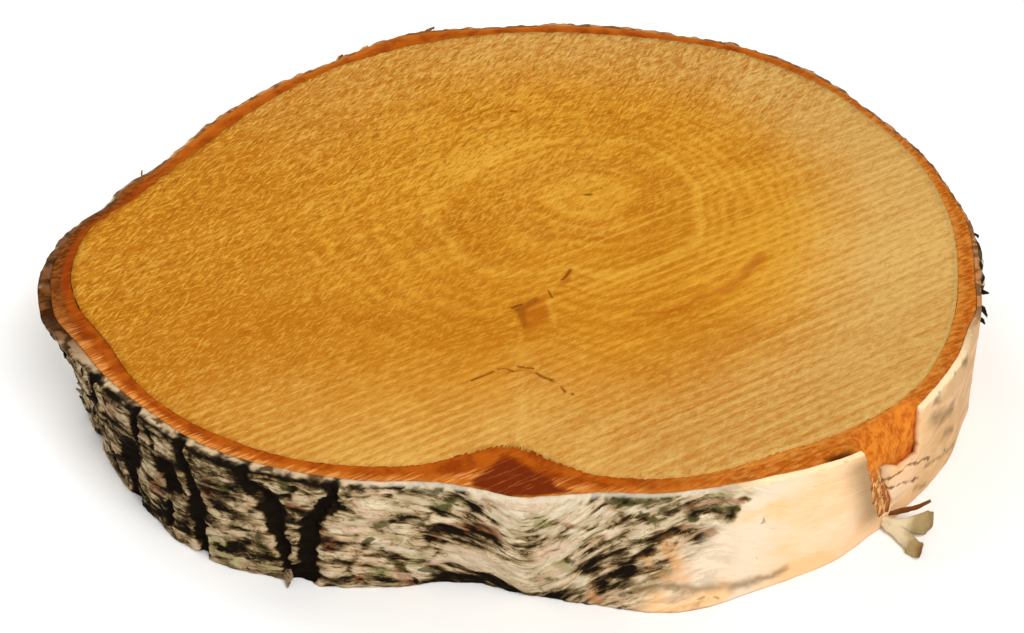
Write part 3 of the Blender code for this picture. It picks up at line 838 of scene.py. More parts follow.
# marks on the bark wall: half width in mm (0 for a filled patch) and a course of angle and height
wallMarks = {
    "crack": [
        (0.9, [(233.8, 36), (234.2, 31)]), (1.5, [(234.3, 31), (236.2, 28), (236.8, 24), (237.2, 17)]),
        (1.2, [(237.2, 17), (237.7, 10)]), (0.7, [(237.7, 10), (238.2, 4)]),
        (0, [(238.1, 4.4), (239.6, 5.2), (240.4, 3.4), (239.9, -1), (238.4, -1)]),
        (0.9, [(242.6, 36), (243.1, 32)]), (0.9, [(243, 32), (242.1, 29), (241.7, 26)]),
        (1.2, [(241.7, 26), (240.6, 22), (240.4, 18)]), (1.7, [(240.4, 18), (240.1, 10), (239.8, 1)]),
        (1.1, [(226.4, 36), (226.8, 31), (228, 26)]), (1.7, [(228, 26), (228.6, 19), (228.7, 12)]),
        (1.1, [(228.7, 12), (229, -1)]), (2.6, [(224.4, 24.5), (225.6, 20.5)]),
        (1.2, [(225.6, 20.5), (225, 17.5)]), (0.8, [(219.7, 36), (220.1, 31), (219.8, 26)]),
        (0.7, [(222.2, 33), (222.6, 28)]), (2.3, [(219, 21), (217.8, 14), (217.6, 8)]),
        (1.3, [(217.6, 8), (218, 1)]), (1.3, [(213.2, 36), (212.4, 28), (211, 22), (209.5, 15)]),
        (1.6, [(209.5, 15), (208, 6), (207.6, -1)]), (1.0, [(224.8, 12), (224.3, 4)]),
        (1.5, [(203, 30), (204, 24), (202.8, 12), (203.5, -1)]), (1.2, [(196, 29), (197, 20), (196, -1)]),
        (1.2, [(190, 28), (191.5, 16), (190.5, -1)])],
    "dark": [
        (0.45, [(230, 20.1), (232.5, 20.4), (234.9, 20.7)]),
        (0.4, [(229.8, 8.9), (232, 8.6), (234.2, 9.7)]), (0.7, [(231.3, 18.6), (233.6, 18.9)]),
        (0.7, [(234.1, 17.9), (235.9, 16.8)]),
        (0.3, [(250.7, 36), (249.6, 34), (246.8, 33.2), (244.4, 32.3), (242.9, 28)]),
        (1.9, [(255.2, 32.8), (256.5, 29.5), (256, 26.4)]), (0.5, [(252.6, 27), (252, 25), (251.3, 23)]),
        (0, [(250, 16), (251.5, 20), (253, 23), (256, 23.6), (259, 23.5), (259.6, 17), (259.2, 13.3),
             (255, 14.2), (252, 15.7)]),
        (1.2, [(264.2, 18.5), (265.3, 21), (266.3, 22.6)]), (0.4, [(262.5, 7.2), (265.2, 7.9)]),
        (0, [(251.6, 7), (253.9, 9.3), (255.6, 6.4), (260, 4.7), (261.2, 1.8), (262.3, -1), (251, -1)]),
        (0, [(264.3, 0.6), (265.6, 4.8), (267.4, 6.2), (268.6, 5), (268.4, -1), (265, -1)]),
        (0, [(267.6, 16.5), (268.4, 21), (270, 23), (271.8, 21.5), (273.4, 16), (273, 10), (271.6, 4),
             (270.4, 2.8), (268.6, 8), (267.4, 12)]),
        (1.1, [(272.2, 30.4), (272.7, 27), (272.2, 23), (271.4, 21)]), (0.7, [(270.2, 31.9), (272, 31)]),
        (1.1, [(277.4, 25), (275, 20.4), (273.2, 15.5), (272.8, 10), (271.4, 5)]),
        (0.25, [(287.5, 23.4), (287.4, 22.4)]), (0.22, [(287, 11.3)]), (1.3, [(284.2, 27.8), (283.8, 26)]),
        (0.6, [(284.6, 31.5), (285.6, 29.8)]), (0.5, [(250, 1), (249.4, 4)]),
        (0.5, [(246.6, 7.5), (246.8, 5)]), (0.5, [(244, 8), (244.2, 5)]), (0.6, [(241, 3), (242, 0.6)]),
        (0.5, [(252.2, 12), (251.4, 8.2)]), (1.2, [(228, 16), (227, 8), (226.8, 1)]),
        (1.5, [(223.5, 10), (222.8, 4)]), (1.2, [(214.8, 30), (214.4, 20)]),
        (0.7, [(239, 33), (238.6, 30)]), (0.4, [(313.9, 35), (314.4, 32)]),
        (0.4, [(318.1, 35), (318.6, 32.4)]), (0.35, [(318.4, 7.4), (319, 6.2)])],
    "brown": [
        (1.4, [(242.7, 29.2), (244.6, 28.4)]), (0.7, [(266.3, 25.8), (268.4, 25.3)]),
        (1.0, [(238.6, 26), (240, 24.6)]),
        (0, [(252, 17), (253.6, 22.8), (259.2, 24.6), (259.4, 19), (255, 19.6)]),
        (1.6, [(278.6, 23.8), (281.6, 22.8)]), (1.3, [(279, 31), (282, 31.2), (284.8, 30.4)]),
        (0.6, [(280, 3.4), (282.2, 3)]), (1.8, [(269.4, 5.4), (269.8, 1)]),
        (1.1, [(242.6, 18), (242.4, 13)]), (0.8, [(257.8, 33.5), (258.4, 30)]),
        (1.5, [(241.2, 22.6), (241.9, 17)]), (1.2, [(248.6, 7), (249.4, 1.4)]),
        (0.9, [(244.6, 4), (244.8, 0.6)]), (1.5, [(216, 32), (215.5, 24)]),
        (1.5, [(223.6, 17), (222.6, 12)]), (1.4, [(230.6, 27), (230.2, 22)])],
    "moss": [
        (1.3, [(250.6, 34.6), (252.6, 33.4)]), (1.0, [(254.4, 31.5), (253.4, 28.2), (253.5, 26.6)]),
        (1.3, [(246.6, 22.2), (247.7, 23.3)]), (0.9, [(245.9, 17.4), (246, 15)]),
        (0.7, [(247.6, 14), (247.4, 12.6)]), (1.4, [(271, 33.9), (273.4, 33.2), (276.8, 34)]),
        (1.1, [(276, 31.8), (277.4, 30.2)]), (0.9, [(274.1, 29.4), (275.6, 27.9)]),
        (0.8, [(273.1, 22), (275.8, 21.5)]), (0.6, [(276.1, 24), (276.9, 23.4)]),
        (0.9, [(232, 26.6), (233.6, 27.3)]), (0.7, [(230.9, 34), (231.3, 32.6)]),
        (0.7, [(233.6, 32), (233.9, 30.2)]), (0.7, [(237.9, 33.4), (238.3, 32)]),
        (0.7, [(228.6, 32.4), (228.3, 30.4)]), (0.9, [(282, 28.4), (284.4, 27.8)]),
        (0.9, [(279.2, 29), (279.7, 27.5)]), (0.8, [(251.8, 16.8), (252.8, 15.2)]),
        (0.9, [(248.2, 10), (249, 7)]), (0.8, [(251, 6.5), (252.2, 4.6)]),
        (0.6, [(266.4, 15.2), (267.6, 13.4)]), (1.0, [(235.4, 12.6), (236.2, 8)])],
    "lichen": [
        (1.0, [(253, 30.4), (253.4, 27.6)]), (1.3, [(262.6, 30.4), (263.6, 27.8), (264.8, 26)]),
        (1.6, [(247, 20), (248.6, 18)]), (1.4, [(246.4, 8.6), (247.6, 3)]),
        (1.4, [(250.8, 13), (250.2, 9)]), (1.5, [(230.6, 6.4), (233, 3)]),
        (1.4, [(234.6, 5.6), (236.4, 2.6)]), (1.4, [(281.4, 33.4), (283.2, 32.6)]),
        (1.3, [(224, 10), (222.6, 7)]), (1.2, [(220, 9.4), (219.8, 4)]), (1.5, [(276.6, 12), (277.6, 7.6)]),
        (1.3, [(265.4, 14), (267, 12)])],
    "white": [
        (0, [(252, 15.4), (254, 13.9), (257, 13.2), (260, 12.8), (262.5, 14), (264.5, 17), (266.2, 20),
             (267.7, 24.6), (268.6, 24.4), (268, 20), (266.8, 16), (265.4, 13.6), (266.4, 11), (266.2, 8.4),
             (268.2, 7.2), (266.4, 6.4), (264.4, 4), (263.7, 1.8), (261.2, 2.6), (259.6, 5.2), (256.4, 6.2),
             (254.5, 8.2), (253, 10.6)]),
        (0, [(259.4, 36), (262.5, 36), (262, 27), (261.8, 21), (260.5, 20), (259.2, 24)]),
        (1.6, [(278.6, 29.6), (277.2, 26.6), (274.6, 24.7)]),
        (0, [(262.6, 36), (269, 36), (269, 27), (266, 26.6), (264.6, 30), (262.8, 31)]),
        (0, [(244.6, 31.4), (249.4, 32.4), (252.6, 30), (252, 27), (249, 24.6), (244.8, 25.4)]),
        (1.1, [(251.8, 24.2), (253.6, 23.6)]), (1.2, [(249, 17.6), (250.4, 15.6)]),
        (1.4, [(230.4, 18), (232.2, 12.8)]), (0.8, [(238.7, 8.6), (238.9, 6.4)])],
    "tanStroke": [
        (1.2, [(274.7, 16.8), (275.2, 13.4)]), (2.0, [(277, 20), (277.9, 13.6)]),
        (1.4, [(276, 11), (278.8, 10)]), (1.0, [(269.2, 3.8), (269.8, 1.4)])],
    "tear": [
        (0.35, [(303.6, 18.8), (306, 17.6), (309, 16.8), (311.6, 13.6), (314, 11.2)]),
        (0.3, [(305, 14), (306.6, 12.4), (309.5, 10.5), (312, 7.4)])],
    "smudgeAndShade": [
        (1.0, [(273.6, 7.4), (276.3, 8.3), (279.3, 7.3), (281.5, 5.7), (284, 4.6), (287, 3.8), (290.4, 4.6)]),
        (1.9, [(313.2, 26), (315.6, 22.4), (318.8, 21)]), (1.2, [(321, 34), (324.4, 28)]),
        (1.2, [(317.6, 14), (320.6, 11)]), (0.8, [(311.4, 4), (314, 2.4)]),
        (0.7, [(312.6, 33.6), (314.2, 31)]), (0.5, [(313, 10.4), (316, 8), (320, 5), (323, 3)])]}


# where the clean paper takes over from the furrowed bark, further left low down
def paperCover(angles, z):
    start = 273 + 0.28 * z + 0.0045 * z**2
    return ease(-1.5, 2.5, angles - start) * ease(350, 332, angles)


# a black lump stands out under the rim at the right
def knob(points, angles, z):
    lump = between(339.5, 341.5, 347.5, 350.5, angles) * ease(22, 27, z) * ease(34.9, 33.6, z)
    return np.clip(lump * (0.8 + 0.8 * lumps(points, (2.4, 2.4, 2.4), 59, 2)), 0, 1)


def lipLift(angles, z):
    return 0.6 * between(288, 297, 299, 303, angles) * z / top


def wallPlane(points):
    return np.stack([anglesOf(points) * mmPerDegree, points[:, 2]], axis=1)


def alongGrain(points):
    return np.stack([points[:, 0], points[:, 1], points[:, 2] - flow(anglesOf(points))], axis=1)


def wornPlane(points):
    plane = wallPlane(points)
    grain = alongGrain(points)
    plane[:, 0] += 0.9 * lumps(grain, (3.2, 3.2, 1.6), 81) + 0.5 * lumps(grain, (1.2, 1.2, 0.8), 82)
    plane[:, 1] += 0.8 * lumps(grain, (3.2, 3.2, 2.0), 83) + 0.4 * lumps(grain, (1.2, 1.2, 0.8), 84)
    return plane


def barkRelief(points, angles, z, marks):
    furrowed = between(180, 196, 240, 250, angles)
    middle = between(238, 248, 280, 290, angles)
    paper = paperCover(angles, z)
    middle *= 1 - paper
    hidden = 1 - np.clip(furrowed + middle + paper, 0, 1)
    grain = alongGrain(points)
    low = lumps(points, (26, 26, 14), 51)
    plates = lumps(grain, (8, 8, 5), 52, 2)
    scales = lumps(grain, (3.6, 3.6, 1.3), 53, 2)
    dashes = lumps(grain, (6, 6, 0.9), 54, 2)
    grit = lumps(points, (0.9, 0.9, 0.7), 55)
    relief = 0.25 * low
    relief += furrowed * (0.6 * plates + 0.42 * scales + 0.16 * grit)
    relief += middle * (0.3 * plates + 0.28 * scales + 0.08 * grit)
    relief += paper * (0.08 * dashes + 0.12 * plates)
    relief += hidden * (0.25 * plates + 0.22 * dashes + 0.2 * scales)
    relief *= 1 - 0.75 * between(170, 180, 206, 214, angles) * ease(26, 32, z)
    relief -= 2.4 * marks["crack"] + 0.5 * marks["dark"] + 0.2 * marks["brown"] + 0.5 * marks["tear"]
    relief += 2.0 * knob(points, angles, z)
    relief += 0.3 * marks["white"] + (0.2 + 0.3 * grit) * marks["moss"] + 0.15 * marks["lichen"]
    return relief


notch = {
    "edge": [
        (298.8, 37), (299.2, 35), (299.6, 32.2), (300.4, 26.4), (301.6, 19.2), (302.4, 13.2), (303.6, 7.6),
        (304.4, 4.8), (306.2, 4.0), (306.6, 6.5), (306.2, 9.4), (305.2, 14.3), (304.2, 17.6), (303.4, 20.6),
        (303.3, 23.4), (304.4, 22.8), (305.6, 20.8), (307.1, 18.8), (309.3, 18.0), (310.7, 17.9),
        (310.6, 20.7), (309.8, 26.4), (309.5, 33.3), (310.4, 37)],
    "lip": 8,
    "reach": (-4.0, 9.0),
    "step": 0.6}


def notchCutter():
    corners = np.array(wallCourse(notch["edge"]))
    steps = [corners[0]]
    for start, end in zip(corners, corners[1:]):
        count = max(1, round(np.linalg.norm(end - start) / notch["step"]))
        steps += [start + (end - start) * (i + 1) / count for i in range(count)]
    outline = np.array(steps)
    jag = np.stack([outline[:, 0], outline[:, 1], outline[:, 0] * 0], axis=1)
    outline[:, 0] += 0.35 * lumps(jag, (2.2, 2.2, 9), 61, 2)
    outline[:, 1] += 0.35 * lumps(jag, (2.2, 2.2, 9), 62, 2) * (outline[:, 1] < 35)
    angles = outline[:, 0] / mmPerDegree
    bm = bmesh.new()
    rings = []
    for reach in notch["reach"]:
        radii = barkEdge(angles) + footShift(angles, outline[:, 1]) + reach
        spots = placed(angles, radii, outline[:, 1])
        rings.append(bm.faces.new([bm.verts.new(spot) for spot in spots]))
    bmesh.ops.bridge_loops(bm, edges=list(rings[0].edges) + list(rings[1].edges))
    bmesh.ops.triangulate(bm, faces=bm.faces)
    bmesh.ops.recalc_face_normals(bm, faces=bm.faces)
    cutter = bpy.data.objects.new("notchCutter", meshFrom(bm, "notchCutter"))
    bpy.context.collection.objects.link(cutter)
    return cutter


def cutAway(mesh, cutter):
    whole = bpy.data.objects.new("uncut", mesh)
    bpy.context.collection.objects.link(whole)
    cut = whole.modifiers.new("notch", "BOOLEAN")
    cut.operation = "DIFFERENCE"
    cut.solver = "EXACT"
    cut.object = cutter
    seen = bpy.context.evaluated_depsgraph_get()
    made = bpy.data.meshes.new_from_object(whole.evaluated_get(seen))
    for spare in (whole, cutter):
        bpy.data.objects.remove(spare)
    return made


def makeOuterBark():
    rows = outer["rows"]
    section = [(0, 0), (0.5, 0)] + [(1, top * row / rows) for row in range(rows + 1)]
    section += [(0.75, top), (0.5, top), (0.25, top), (0, top), (0, 24), (0, 12)]
    mesh = meshFrom(ring(section, outer["steps"]), "outerBark")
    points, angles, side = unroll(mesh)
    z = points[:, 2]
    edge = barkEdge(angles) + footShift(angles, z) + lipLift(angles, z)
    start = edge - outerBark(angles)
    smooth = placed(angles, edge, z)
    marks = marksOn(smooth, wallMarks, 0.6, wornPlane)
    relief = barkRelief(smooth, angles, z, marks)
    end = np.maximum(edge + relief, start + 0.35)
    points = placed(angles, start + side * (end - start), z)
    frayed = 0.35 * lumps(points, (2.0, 2.0, 9), 57, 2) - 0.15
    face = np.minimum(sawnFace(points) - 0.1 + frayed * ease(0.2, 1, side), top - 0.02)
    chipped = between(206, 214, 244, 256, angles) + 0.3 * between(250, 256, 276, 284, angles)
    face -= chipped * side**2 * (1.5 + 0.9 * lumps(points, (3.4, 3.4, 9), 58, 2))
    low = underFace(points)
    points[:, 2] = low + (z / top) * (face - low)
    movePoints(mesh, points)
    mesh = cutAway(mesh, notchCutter())
    points = pointsOf(mesh)
    angles = anglesOf(points)
    z = points[:, 2]
    edge = barkEdge(angles) + footShift(angles, z) + lipLift(angles, z)
    marks = marksOn(points, wallMarks, 0.6, wornPlane)
    for kind, mask in marks.items():
        addAttribute(mesh, kind, mask)
    addZones(mesh, outer["zones"], angles)
    addAttribute(mesh, "paper", paperCover(angles, z))
    addAttribute(mesh, "shadedRightSide", ease(308, 315, angles) * ease(350, 338, angles))
    addAttribute(mesh, "knob", knob(points, angles, z))
    addAttribute(mesh, "chalky", between(272, 278, 284, 291, angles - 0.12 * z))
    addAttribute(mesh, "sag", flow(angles))
    # how far the bark lies off its smooth wall; the material paints shade where it lies below
    addAttribute(mesh, "depth", radiiOf(points) - edge)
    addAttribute(mesh, "onTop", ease(34, 34.3, z))
    # painted shade on the paper beside the lip, fading out high and low
    lip = wallCourse(notch["edge"][:notch["lip"]])
    beside = ease(9.5, 0.5, distanceTo(wallPlane(points), lip)) * (angles < 305)
    addAttribute(mesh, "lipShade", beside * ease(36, 30, z) * ease(0, 9, z))
    addPiece(mesh, "outerBark", barkFinish(), ["outer_bark"])


def barkFinish():
    f = Finish("outerBark")
    marks = {kind: f.attribute(kind) for kind in wallMarks}
    furrowed = f.attribute("furrowed")
    middle = f.attribute("middle")
    paper = f.attribute("paper")
    onTop = f.attribute("onTop")
    sag = f.node("ShaderNodeCombineXYZ", {}, {"Z": f.attribute("sag")})
    grain = f.vector("SUBTRACT", f.place, Value(f, sag.outputs["Vector"]))
    cloud = f.noise((16, 16, 10), detail=3, roughness=0.55)
    streaks = f.noise((12, 12, 2.6), place=grain, detail=2, roughness=0.5, distortion=0.6, offset=2.3)
    flakes = f.noise((5, 5, 1.5), place=grain, detail=2, roughness=0.55, distortion=0.4, offset=6.4)
    chunks = f.noise((9, 9, 4.6), place=grain, detail=2, roughness=0.5, distortion=0.8, offset=3.7)
    veins = f.noise((8, 8, 3.2), place=grain, detail=3, roughness=0.6, distortion=0.6, offset=8.1)
    dashes = f.noise((6.5, 6.5, 0.5), place=grain, detail=3, roughness=0.6, offset=5.1)
    grit = f.noise((0.8, 0.8, 0.5), detail=3, roughness=0.6, offset=9.2)
    rough = f.smaller(furrowed + middle, 1.0)
    vein = f.step(0.028, 0.008, f.maths("ABSOLUTE", veins - 0.5)) * rough
    calm = 1 - 0.6 * marks["white"]
    swing = 1.5 * (streaks - 0.5) + 1.1 * (flakes - 0.5) + 1.0 * (chunks - 0.5) + 0.3 * (grit - 0.5)
    swing = swing * calm
    edges = 0.9 * (streaks - 0.5) + 0.9 * (flakes - 0.5) + 0.4 * (grit - 0.5)
    tone = 0.74 - 0.3 * furrowed - 0.12 * middle
    tone = tone + swing * (0.3 + 0.75 * rough - 0.1 * furrowed) + 0.4 * (cloud - 0.5)
    tone = tone - 0.3 * f.step(0.6, 0.7, dashes) * (0.35 + 0.4 * rough) - 0.14 * vein
    changes = {"white": 0.12, "brown": -0.1, "dark": -0.25, "moss": -0.24, "lichen": -0.06}
    for kind, change in changes.items():
        tone = tone + change * marks[kind]
    tone = tone - 1.0 * f.step(0.4, 0.95, marks["crack"] + 1.3 * edges)
    # painted shade: bark lying below its smooth wall is darkened, except on the top
    tone = tone - 0.5 * f.step(-0.1, -1.1, f.attribute("depth")) * (1 - onTop)
    f.colour = f.ramp(tone, outer["tones"])
    sheet = f.mix(f.step(0.3, 0.7, cloud), outer["paperWarm"], outer["paper"])
    sheet = f.mix(0.8 * f.attribute("chalky") * f.step(0.3, 0.5, cloud), sheet, outer["chalk"])
    # painted shade with smudges: the paper to the right is darkened towards tan, in patches in part
    shaded = f.attribute("shadedRightSide") * f.step(0.38, 0.6, chunks)
    sheet = f.mix(0.35 * f.attribute("shadedRightSide") + 0.35 * shaded, sheet, outer["tan"])
    sheet = f.mix(0.25 * f.step(0.63, 0.7, dashes), sheet, outer["pore"])
    clean = paper * (1 - f.step(0.2, 0.5, marks["dark"] + 0.6 * edges))
    f.paint(clean, sheet)
    stain = f.step(0.5, 0.62, chunks) * rough * f.step(0.35, 0.6, tone)
    f.paint(stain * 0.35, outer["stain"])
    green = f.step(0.5, 0.62, streaks + 0.2 * (grit - 0.5)) * rough
    f.paint(green * 0.3, outer["lichen"], blend="MULTIPLY")
    f.paint(0.6 * marks["tanStroke"] * f.step(0.35, 0.55, cloud + 0.5 * (flakes - 0.5)), outer["tanStroke"])
    for kind, amount in (("lichen", 0.55), ("brown", 0.5), ("moss", 0.8)):
        cover = f.step(0.3, 0.75, marks[kind] * (0.4 + 6 * f.larger(flakes - 0.44, 0.0)))
        f.paint(amount * cover * f.step(0.05, 0.3, tone), outer[kind])
    f.paint(0.85 * marks["smudgeAndShade"] * f.step(0.2, 0.45, cloud), outer["smudgeAndShade"])
    # painted shade on the paper beside the lifted lip
    f.paint(0.75 * f.attribute("lipShade"), outer["smudgeAndShade"])
    f.paint(0.8 * f.step(0.15, 0.6, marks["tear"]), outer["tornEdge"])
    f.paint(f.step(0.1, 0.4, f.attribute("knob")),
            f.mix(f.step(0.45, 0.6, flakes), outer["knob"], outer["knobLight"]))
    edge = f.mix(f.step(0.42, 0.58, flakes), outer["backRim"], outer["backRimLight"])
    edge = f.mix(middle, edge, outer["middleRim"])
    edge = f.mix(f.attribute("paleTop"), edge, outer["paperRim"])
    rind = f.mix(f.step(0.38, 0.54, flakes), outer["furrowRim"], outer["furrowRimLight"])
    edge = f.mix(furrowed, edge, rind)
    rind = f.mix(f.step(0.4, 0.6, flakes), outer["noseRim"], outer["noseRimLight"])
    edge = f.mix(f.attribute("nose"), edge, rind)
    f.paint(onTop * (1 - marks["crack"]) * (0.92 - 0.3 * middle), edge)
    return f.finish(0.8, [(streaks, 0.25), (flakes, 0.25), (chunks, 0.2), (grit, 0.12)])


# tongues of torn paper and a splinter: centre and half width across at their stations, root first
curls = {
    "upper": [
        ((94.8, -88.8, 3.2), (0.1, 0.1, 0.5)), ((98.0, -91.0, 3.4), (0.1, 0.3, 1.0)),
        ((101.4, -92.4, 3.8), (0.2, 0.5, 1.8)), ((104.6, -92.8, 4.2), (0.3, 0.9, 2.8)),
        ((107.0, -92.0, 4.2), (0.2, 0.8, 3.1)), ((108.4, -90.8, 4.0), (0.1, 0.4, 2.2))],
    "lower": [
        ((95.0, -89.4, 2.6), (0.4, 0.3, 0.7)), ((98.2, -92.8, 2.5), (0.9, 0.5, 1.2)),
        ((101.2, -96.6, 2.1), (1.8, 0.6, 1.2)), ((102.8, -99.4, 1.7), (2.2, 0.5, 1.0)),
        ((103.4, -101.4, 1.3), (0.9, 0.3, 0.4))],
    "splinter": [
        ((94.8, -86.8, 3.4), (0.1, 0.1, 0.3)), ((97.6, -87.0, 3.5), (0.2, 0.1, 0.5)),
        ((100.6, -87.2, 4.6), (0.2, 0.1, 0.9)), ((102.2, -87.4, 5.2), (0.2, 0.1, 0.8)),
        ((104.8, -87.9, 6.6), (0.1, 0.1, 0.45)), ((107.6, -88.4, 9.0), (0.05, 0.05, 0.08))],
    "cells": (18, 10),
    "thickness": 0.4,
    "leaf": (214, 198, 162),
    "leafTip": (158, 136, 92),
    "leafEnd": (108, 74, 34),
    "wood": (116, 66, 28)}


def addTongue(bm, stations, cells, wave, seed):
    before = set(bm.verts)
    bmesh.ops.create_grid(bm, x_segments=cells[0], y_segments=cells[1], size=0.5)
    fresh = [vert for vert in bm.verts if vert not in before]
    centres = np.array([centre for centre, half in stations], dtype=float)
    halves = np.array([half for centre, half in stations], dtype=float)
    spots = np.linspace(0, 1, len(stations))
    grid = np.array([vert.co for vert in fresh])
    along = grid[:, 0] + 0.5
    across = grid[:, 1] * 2
    tatter = 1 + 0.16 * lumps(np.stack([along * 9, across * 0, along * 0], axis=1), (1, 1, 1), seed, 2)
    points = np.zeros((len(grid), 3))
    for axis in range(3):
        points[:, axis] = np.interp(along, spots, centres[:, axis])
        points[:, axis] += across * tatter * np.interp(along, spots, halves[:, axis])
    points[:, 1] += wave * across**2 - wave * 0.4 + 0.5 * wave * lumps(points, (2.5, 2.5, 2.5), seed + 1, 2)
    for vert, point in zip(fresh, points):
        vert.co = point
    return points


def makeCurls():
    bm = bmesh.new()
    for index, name in enumerate(("upper", "lower", "splinter")):
        addTongue(bm, curls[name], curls["cells"], 0.9 if name != "splinter" else 0.15, 71 + 3 * index)
    bmesh.ops.recalc_face_normals(bm, faces=bm.faces)
    bmesh.ops.solidify(bm, geom=bm.faces[:] + bm.edges[:] + bm.verts[:], thickness=curls["thickness"])
    mesh = meshFrom(bm, "tornCurls")
    points = pointsOf(mesh)
    addAttribute(mesh, "tip", ease(98, 108, points[:, 0]) + 0.5 * ease(-95, -100, points[:, 1]))
    thin = ease(-89.4, -88.2, points[:, 1])
    thin += ease(5.6, 7, points[:, 2]) * ease(-90, -89, points[:, 1])
    addAttribute(mesh, "thin", thin)
    f = Finish("tornCurls")
    cloud = f.noise((3.0, 3.0, 5), detail=3, roughness=0.5)
    tip = f.attribute("tip") + 0.8 * (cloud - 0.5)
    f.colour = f.mix(f.step(0.0, 0.6, tip), curls["leaf"], curls["leafTip"])
    f.paint(f.step(0.7, 1.3, tip), curls["leafEnd"])
    f.paint(f.step(0.3, 0.8, f.attribute("thin")), curls["wood"])
    addPiece(mesh, "tornCurls", f.finish(0.7, [(cloud, 0.4)]))


# loose scales and shards that stand off the bark: how many between two angles, between two heights, their
# length, how far they lean out and up, and their half width, all in mm
scales = {
    "seed": 7,
    "groups": [
        (22, (203, 217), (5, 33), (2.2, 4.2), (0.5, 1.3), (-0.8, 0.5), (0.6, 1.3)),
        (10, (150, 178), (31, 34.2), (2.2, 4.4), (0.2, 0.7), (0.0, 0.4), (0.3, 0.6)),
        (14, (60, 150), (32.4, 34.4), (2.0, 5.0), (0.2, 0.7), (0.0, 0.5), (0.25, 0.5)),
        (8, (12, 60), (32.4, 34.4), (1.6, 3.0), (0.2, 0.6), (0.0, 0.4), (0.25, 0.5))],
    "flakes": [
        [((237.8, -1.0, 3.4), 1.2), ((238.3, 1.0, 2.2), 1.3), ((238.7, 3.2, 0.8), 0.2)],
        [((350.6, -0.8, 33.4), 0.4), ((350.0, 0.6, 33.7), 0.4), ((349.4, 1.5, 34.2), 0.15)],
        [((337.0, -0.8, 32.4), 0.7), ((336.6, 0.8, 33.0), 0.7), ((336.0, 2.2, 34.0), 0.2)],
        [((334.4, -0.8, 31.6), 0.8), ((333.8, 0.8, 31.6), 0.9), ((333.0, 1.7, 31.0), 0.4)],
        [((331.4, -0.8, 32.0), 0.6), ((330.9, 0.8, 32.2), 0.6), ((330.4, 1.5, 32.2), 0.3)]],
    "cells": (6, 4),
    "thickness": 0.35,
    "soot": (34, 26, 18),
    "grey": (140, 116, 88),
    "rust": (112, 74, 42),
    "tan": (206, 158, 104)}


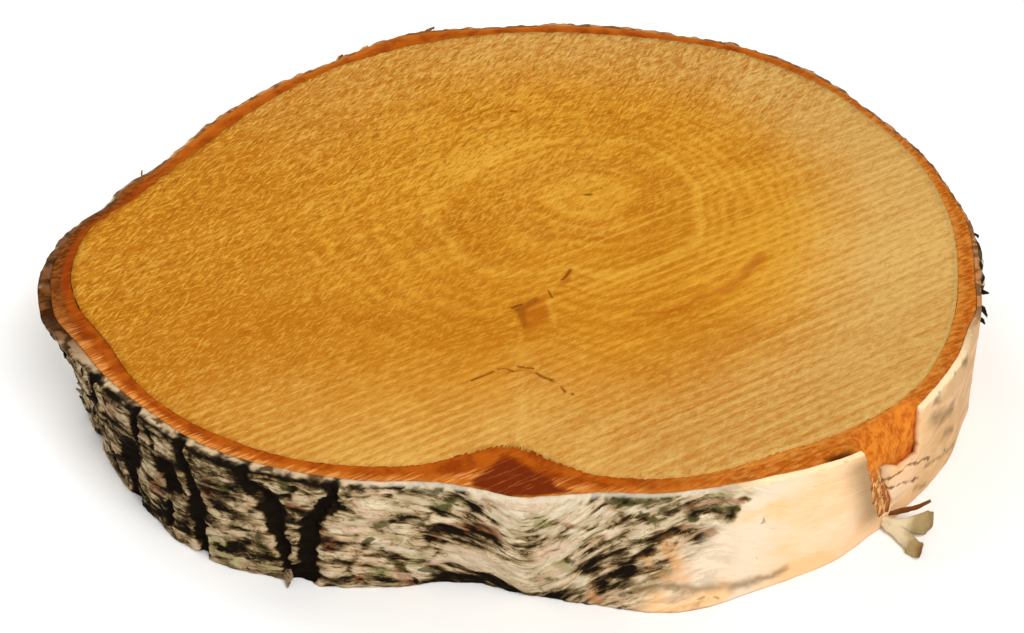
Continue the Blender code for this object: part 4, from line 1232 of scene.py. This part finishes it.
def makeScales():
    bm = bmesh.new()
    dice = np.random.default_rng(scales["seed"])
    soot = []
    for count, turns, heights, lengths, outs, ups, halves in scales["groups"]:
        for index in range(count):
            angle, z, length, out, up, half = (dice.uniform(*span) for span in
                                               (turns, heights, lengths, outs, ups, halves))
            angle = np.array([angle % 360])
            radius = barkEdge(angle) + footShift(angle, z) - 0.7
            root = placed(angle, radius, np.array([z]))[0]
            c, s = heading(angle[0])
            side = dice.choice([-1, 1])
            along = np.array([-s * side * length, c * side * length, 0])
            tip = root + along + np.array([c * (out + 0.7), s * (out + 0.7), up])
            middle = (root + tip) / 2 + np.array([c, s, 0]) * 0.35
            width = np.array([c * 0.2, s * 0.2, 1.0]) * half
            stations = [(root, width), (middle, width), (tip, width * 0.3)]
            made = addTongue(bm, stations, scales["cells"], 0.15, 100 + len(soot))
            soot += [dice.uniform(0, 1)] * len(made)
    for spots in scales["flakes"]:
        stations = []
        for (angle, out, z), half in spots:
            turn = np.array([angle])
            spot = placed(turn, barkEdge(turn) + footShift(turn, z) + out, np.array([z]))[0]
            c, s = heading(angle)
            stations.append((spot, np.array([-s, c, 0.3]) * half))
        made = addTongue(bm, stations, scales["cells"], 0.2, 100 + len(soot))
        soot += [0.8 if angle < 300 else 0.3] * len(made)
    tone = bm.verts.layers.float.new("soot")
    for vert, level in zip(bm.verts, soot):
        vert[tone] = level
    bmesh.ops.recalc_face_normals(bm, faces=bm.faces)
    bmesh.ops.solidify(bm, geom=bm.faces[:] + bm.edges[:] + bm.verts[:], thickness=scales["thickness"])
    mesh = meshFrom(bm, "barkScales")
    angles = anglesOf(pointsOf(mesh))
    addAttribute(mesh, "shaggy", between(190, 200, 240, 250, angles) + ease(320, 326, angles))
    f = Finish("barkScales")
    flecks = f.noise((1.2, 1.2, 0.8), detail=3)
    soot = f.attribute("soot") + 1.5 * (flecks - 0.5)
    dark = f.mix(f.step(0.55, 0.95, soot), scales["soot"], scales["grey"])
    warm = f.mix(f.step(0.2, 0.8, soot), scales["rust"], scales["tan"])
    f.colour = f.mix(f.attribute("shaggy"), warm, dark)
    addPiece(mesh, "barkScales", f.finish(0.8, [(flecks, 0.2)]))


makeWood()
makeInnerBark()
makeOuterBark()
makeCurls()
makeScales()

# floor, camera and lights, each light by power, place and size
studio = {
    "floor": (252, 252, 252),
    "camera": (-0.001, -0.56771, 0.41622),
    "elevation": 36.0,
    "lens": 85.0,
    "key": (11.4, (0.35, -0.75, 0.95), 0.7),
    "back": (6.8, (-0.5, 0.7, 0.8), 0.8),
    "front": (3.4, (-0.5, -1.2, 0.35), 1.0),
    "aim": (0, 0, 0.02),
    "lampColour": (1.0, 0.985, 0.96),
    "sky": 0.41}


def makeStudio():
    bm = bmesh.new()
    bmesh.ops.create_grid(bm, x_segments=1, y_segments=1, size=6)
    floor = bpy.data.objects.new("floor", meshFrom(bm, "floor"))
    bpy.context.collection.objects.link(floor)
    f = Finish("paleFloor")
    f.shader.inputs["Base Color"].default_value = shade(*studio["floor"])
    f.shader.inputs["Roughness"].default_value = 0.9
    floor.data.materials.append(f.material)
    for name in ("key", "back", "front"):
        power, place, size = studio[name]
        lamp = bpy.data.lights.new(name, "AREA")
        lamp.energy = power
        lamp.size = size
        lamp.color = studio["lampColour"]
        holder = bpy.data.objects.new(name, lamp)
        bpy.context.collection.objects.link(holder)
        holder.location = place
        aim = Vector(studio["aim"]) - Vector(place)
        holder.rotation_euler = aim.to_track_quat("-Z", "Y").to_euler()
    world = bpy.data.worlds.new("studio")
    world.use_nodes = True
    world.node_tree.nodes["Background"].inputs["Color"].default_value = (1, 1, 1, 1)
    world.node_tree.nodes["Background"].inputs["Strength"].default_value = studio["sky"]
    bpy.context.scene.world = world
    bpy.context.scene.view_settings.view_transform = "Standard"
    view = bpy.data.cameras.new("view")
    view.lens = studio["lens"]
    view.sensor_width = 36.0
    view.clip_start = 0.01
    camera = bpy.data.objects.new("view", view)
    bpy.context.collection.objects.link(camera)
    camera.location = studio["camera"]
    camera.rotation_euler = (math.radians(90 - studio["elevation"]), 0, 0)
    bpy.context.scene.camera = camera


makeStudio()
print("studio ready")
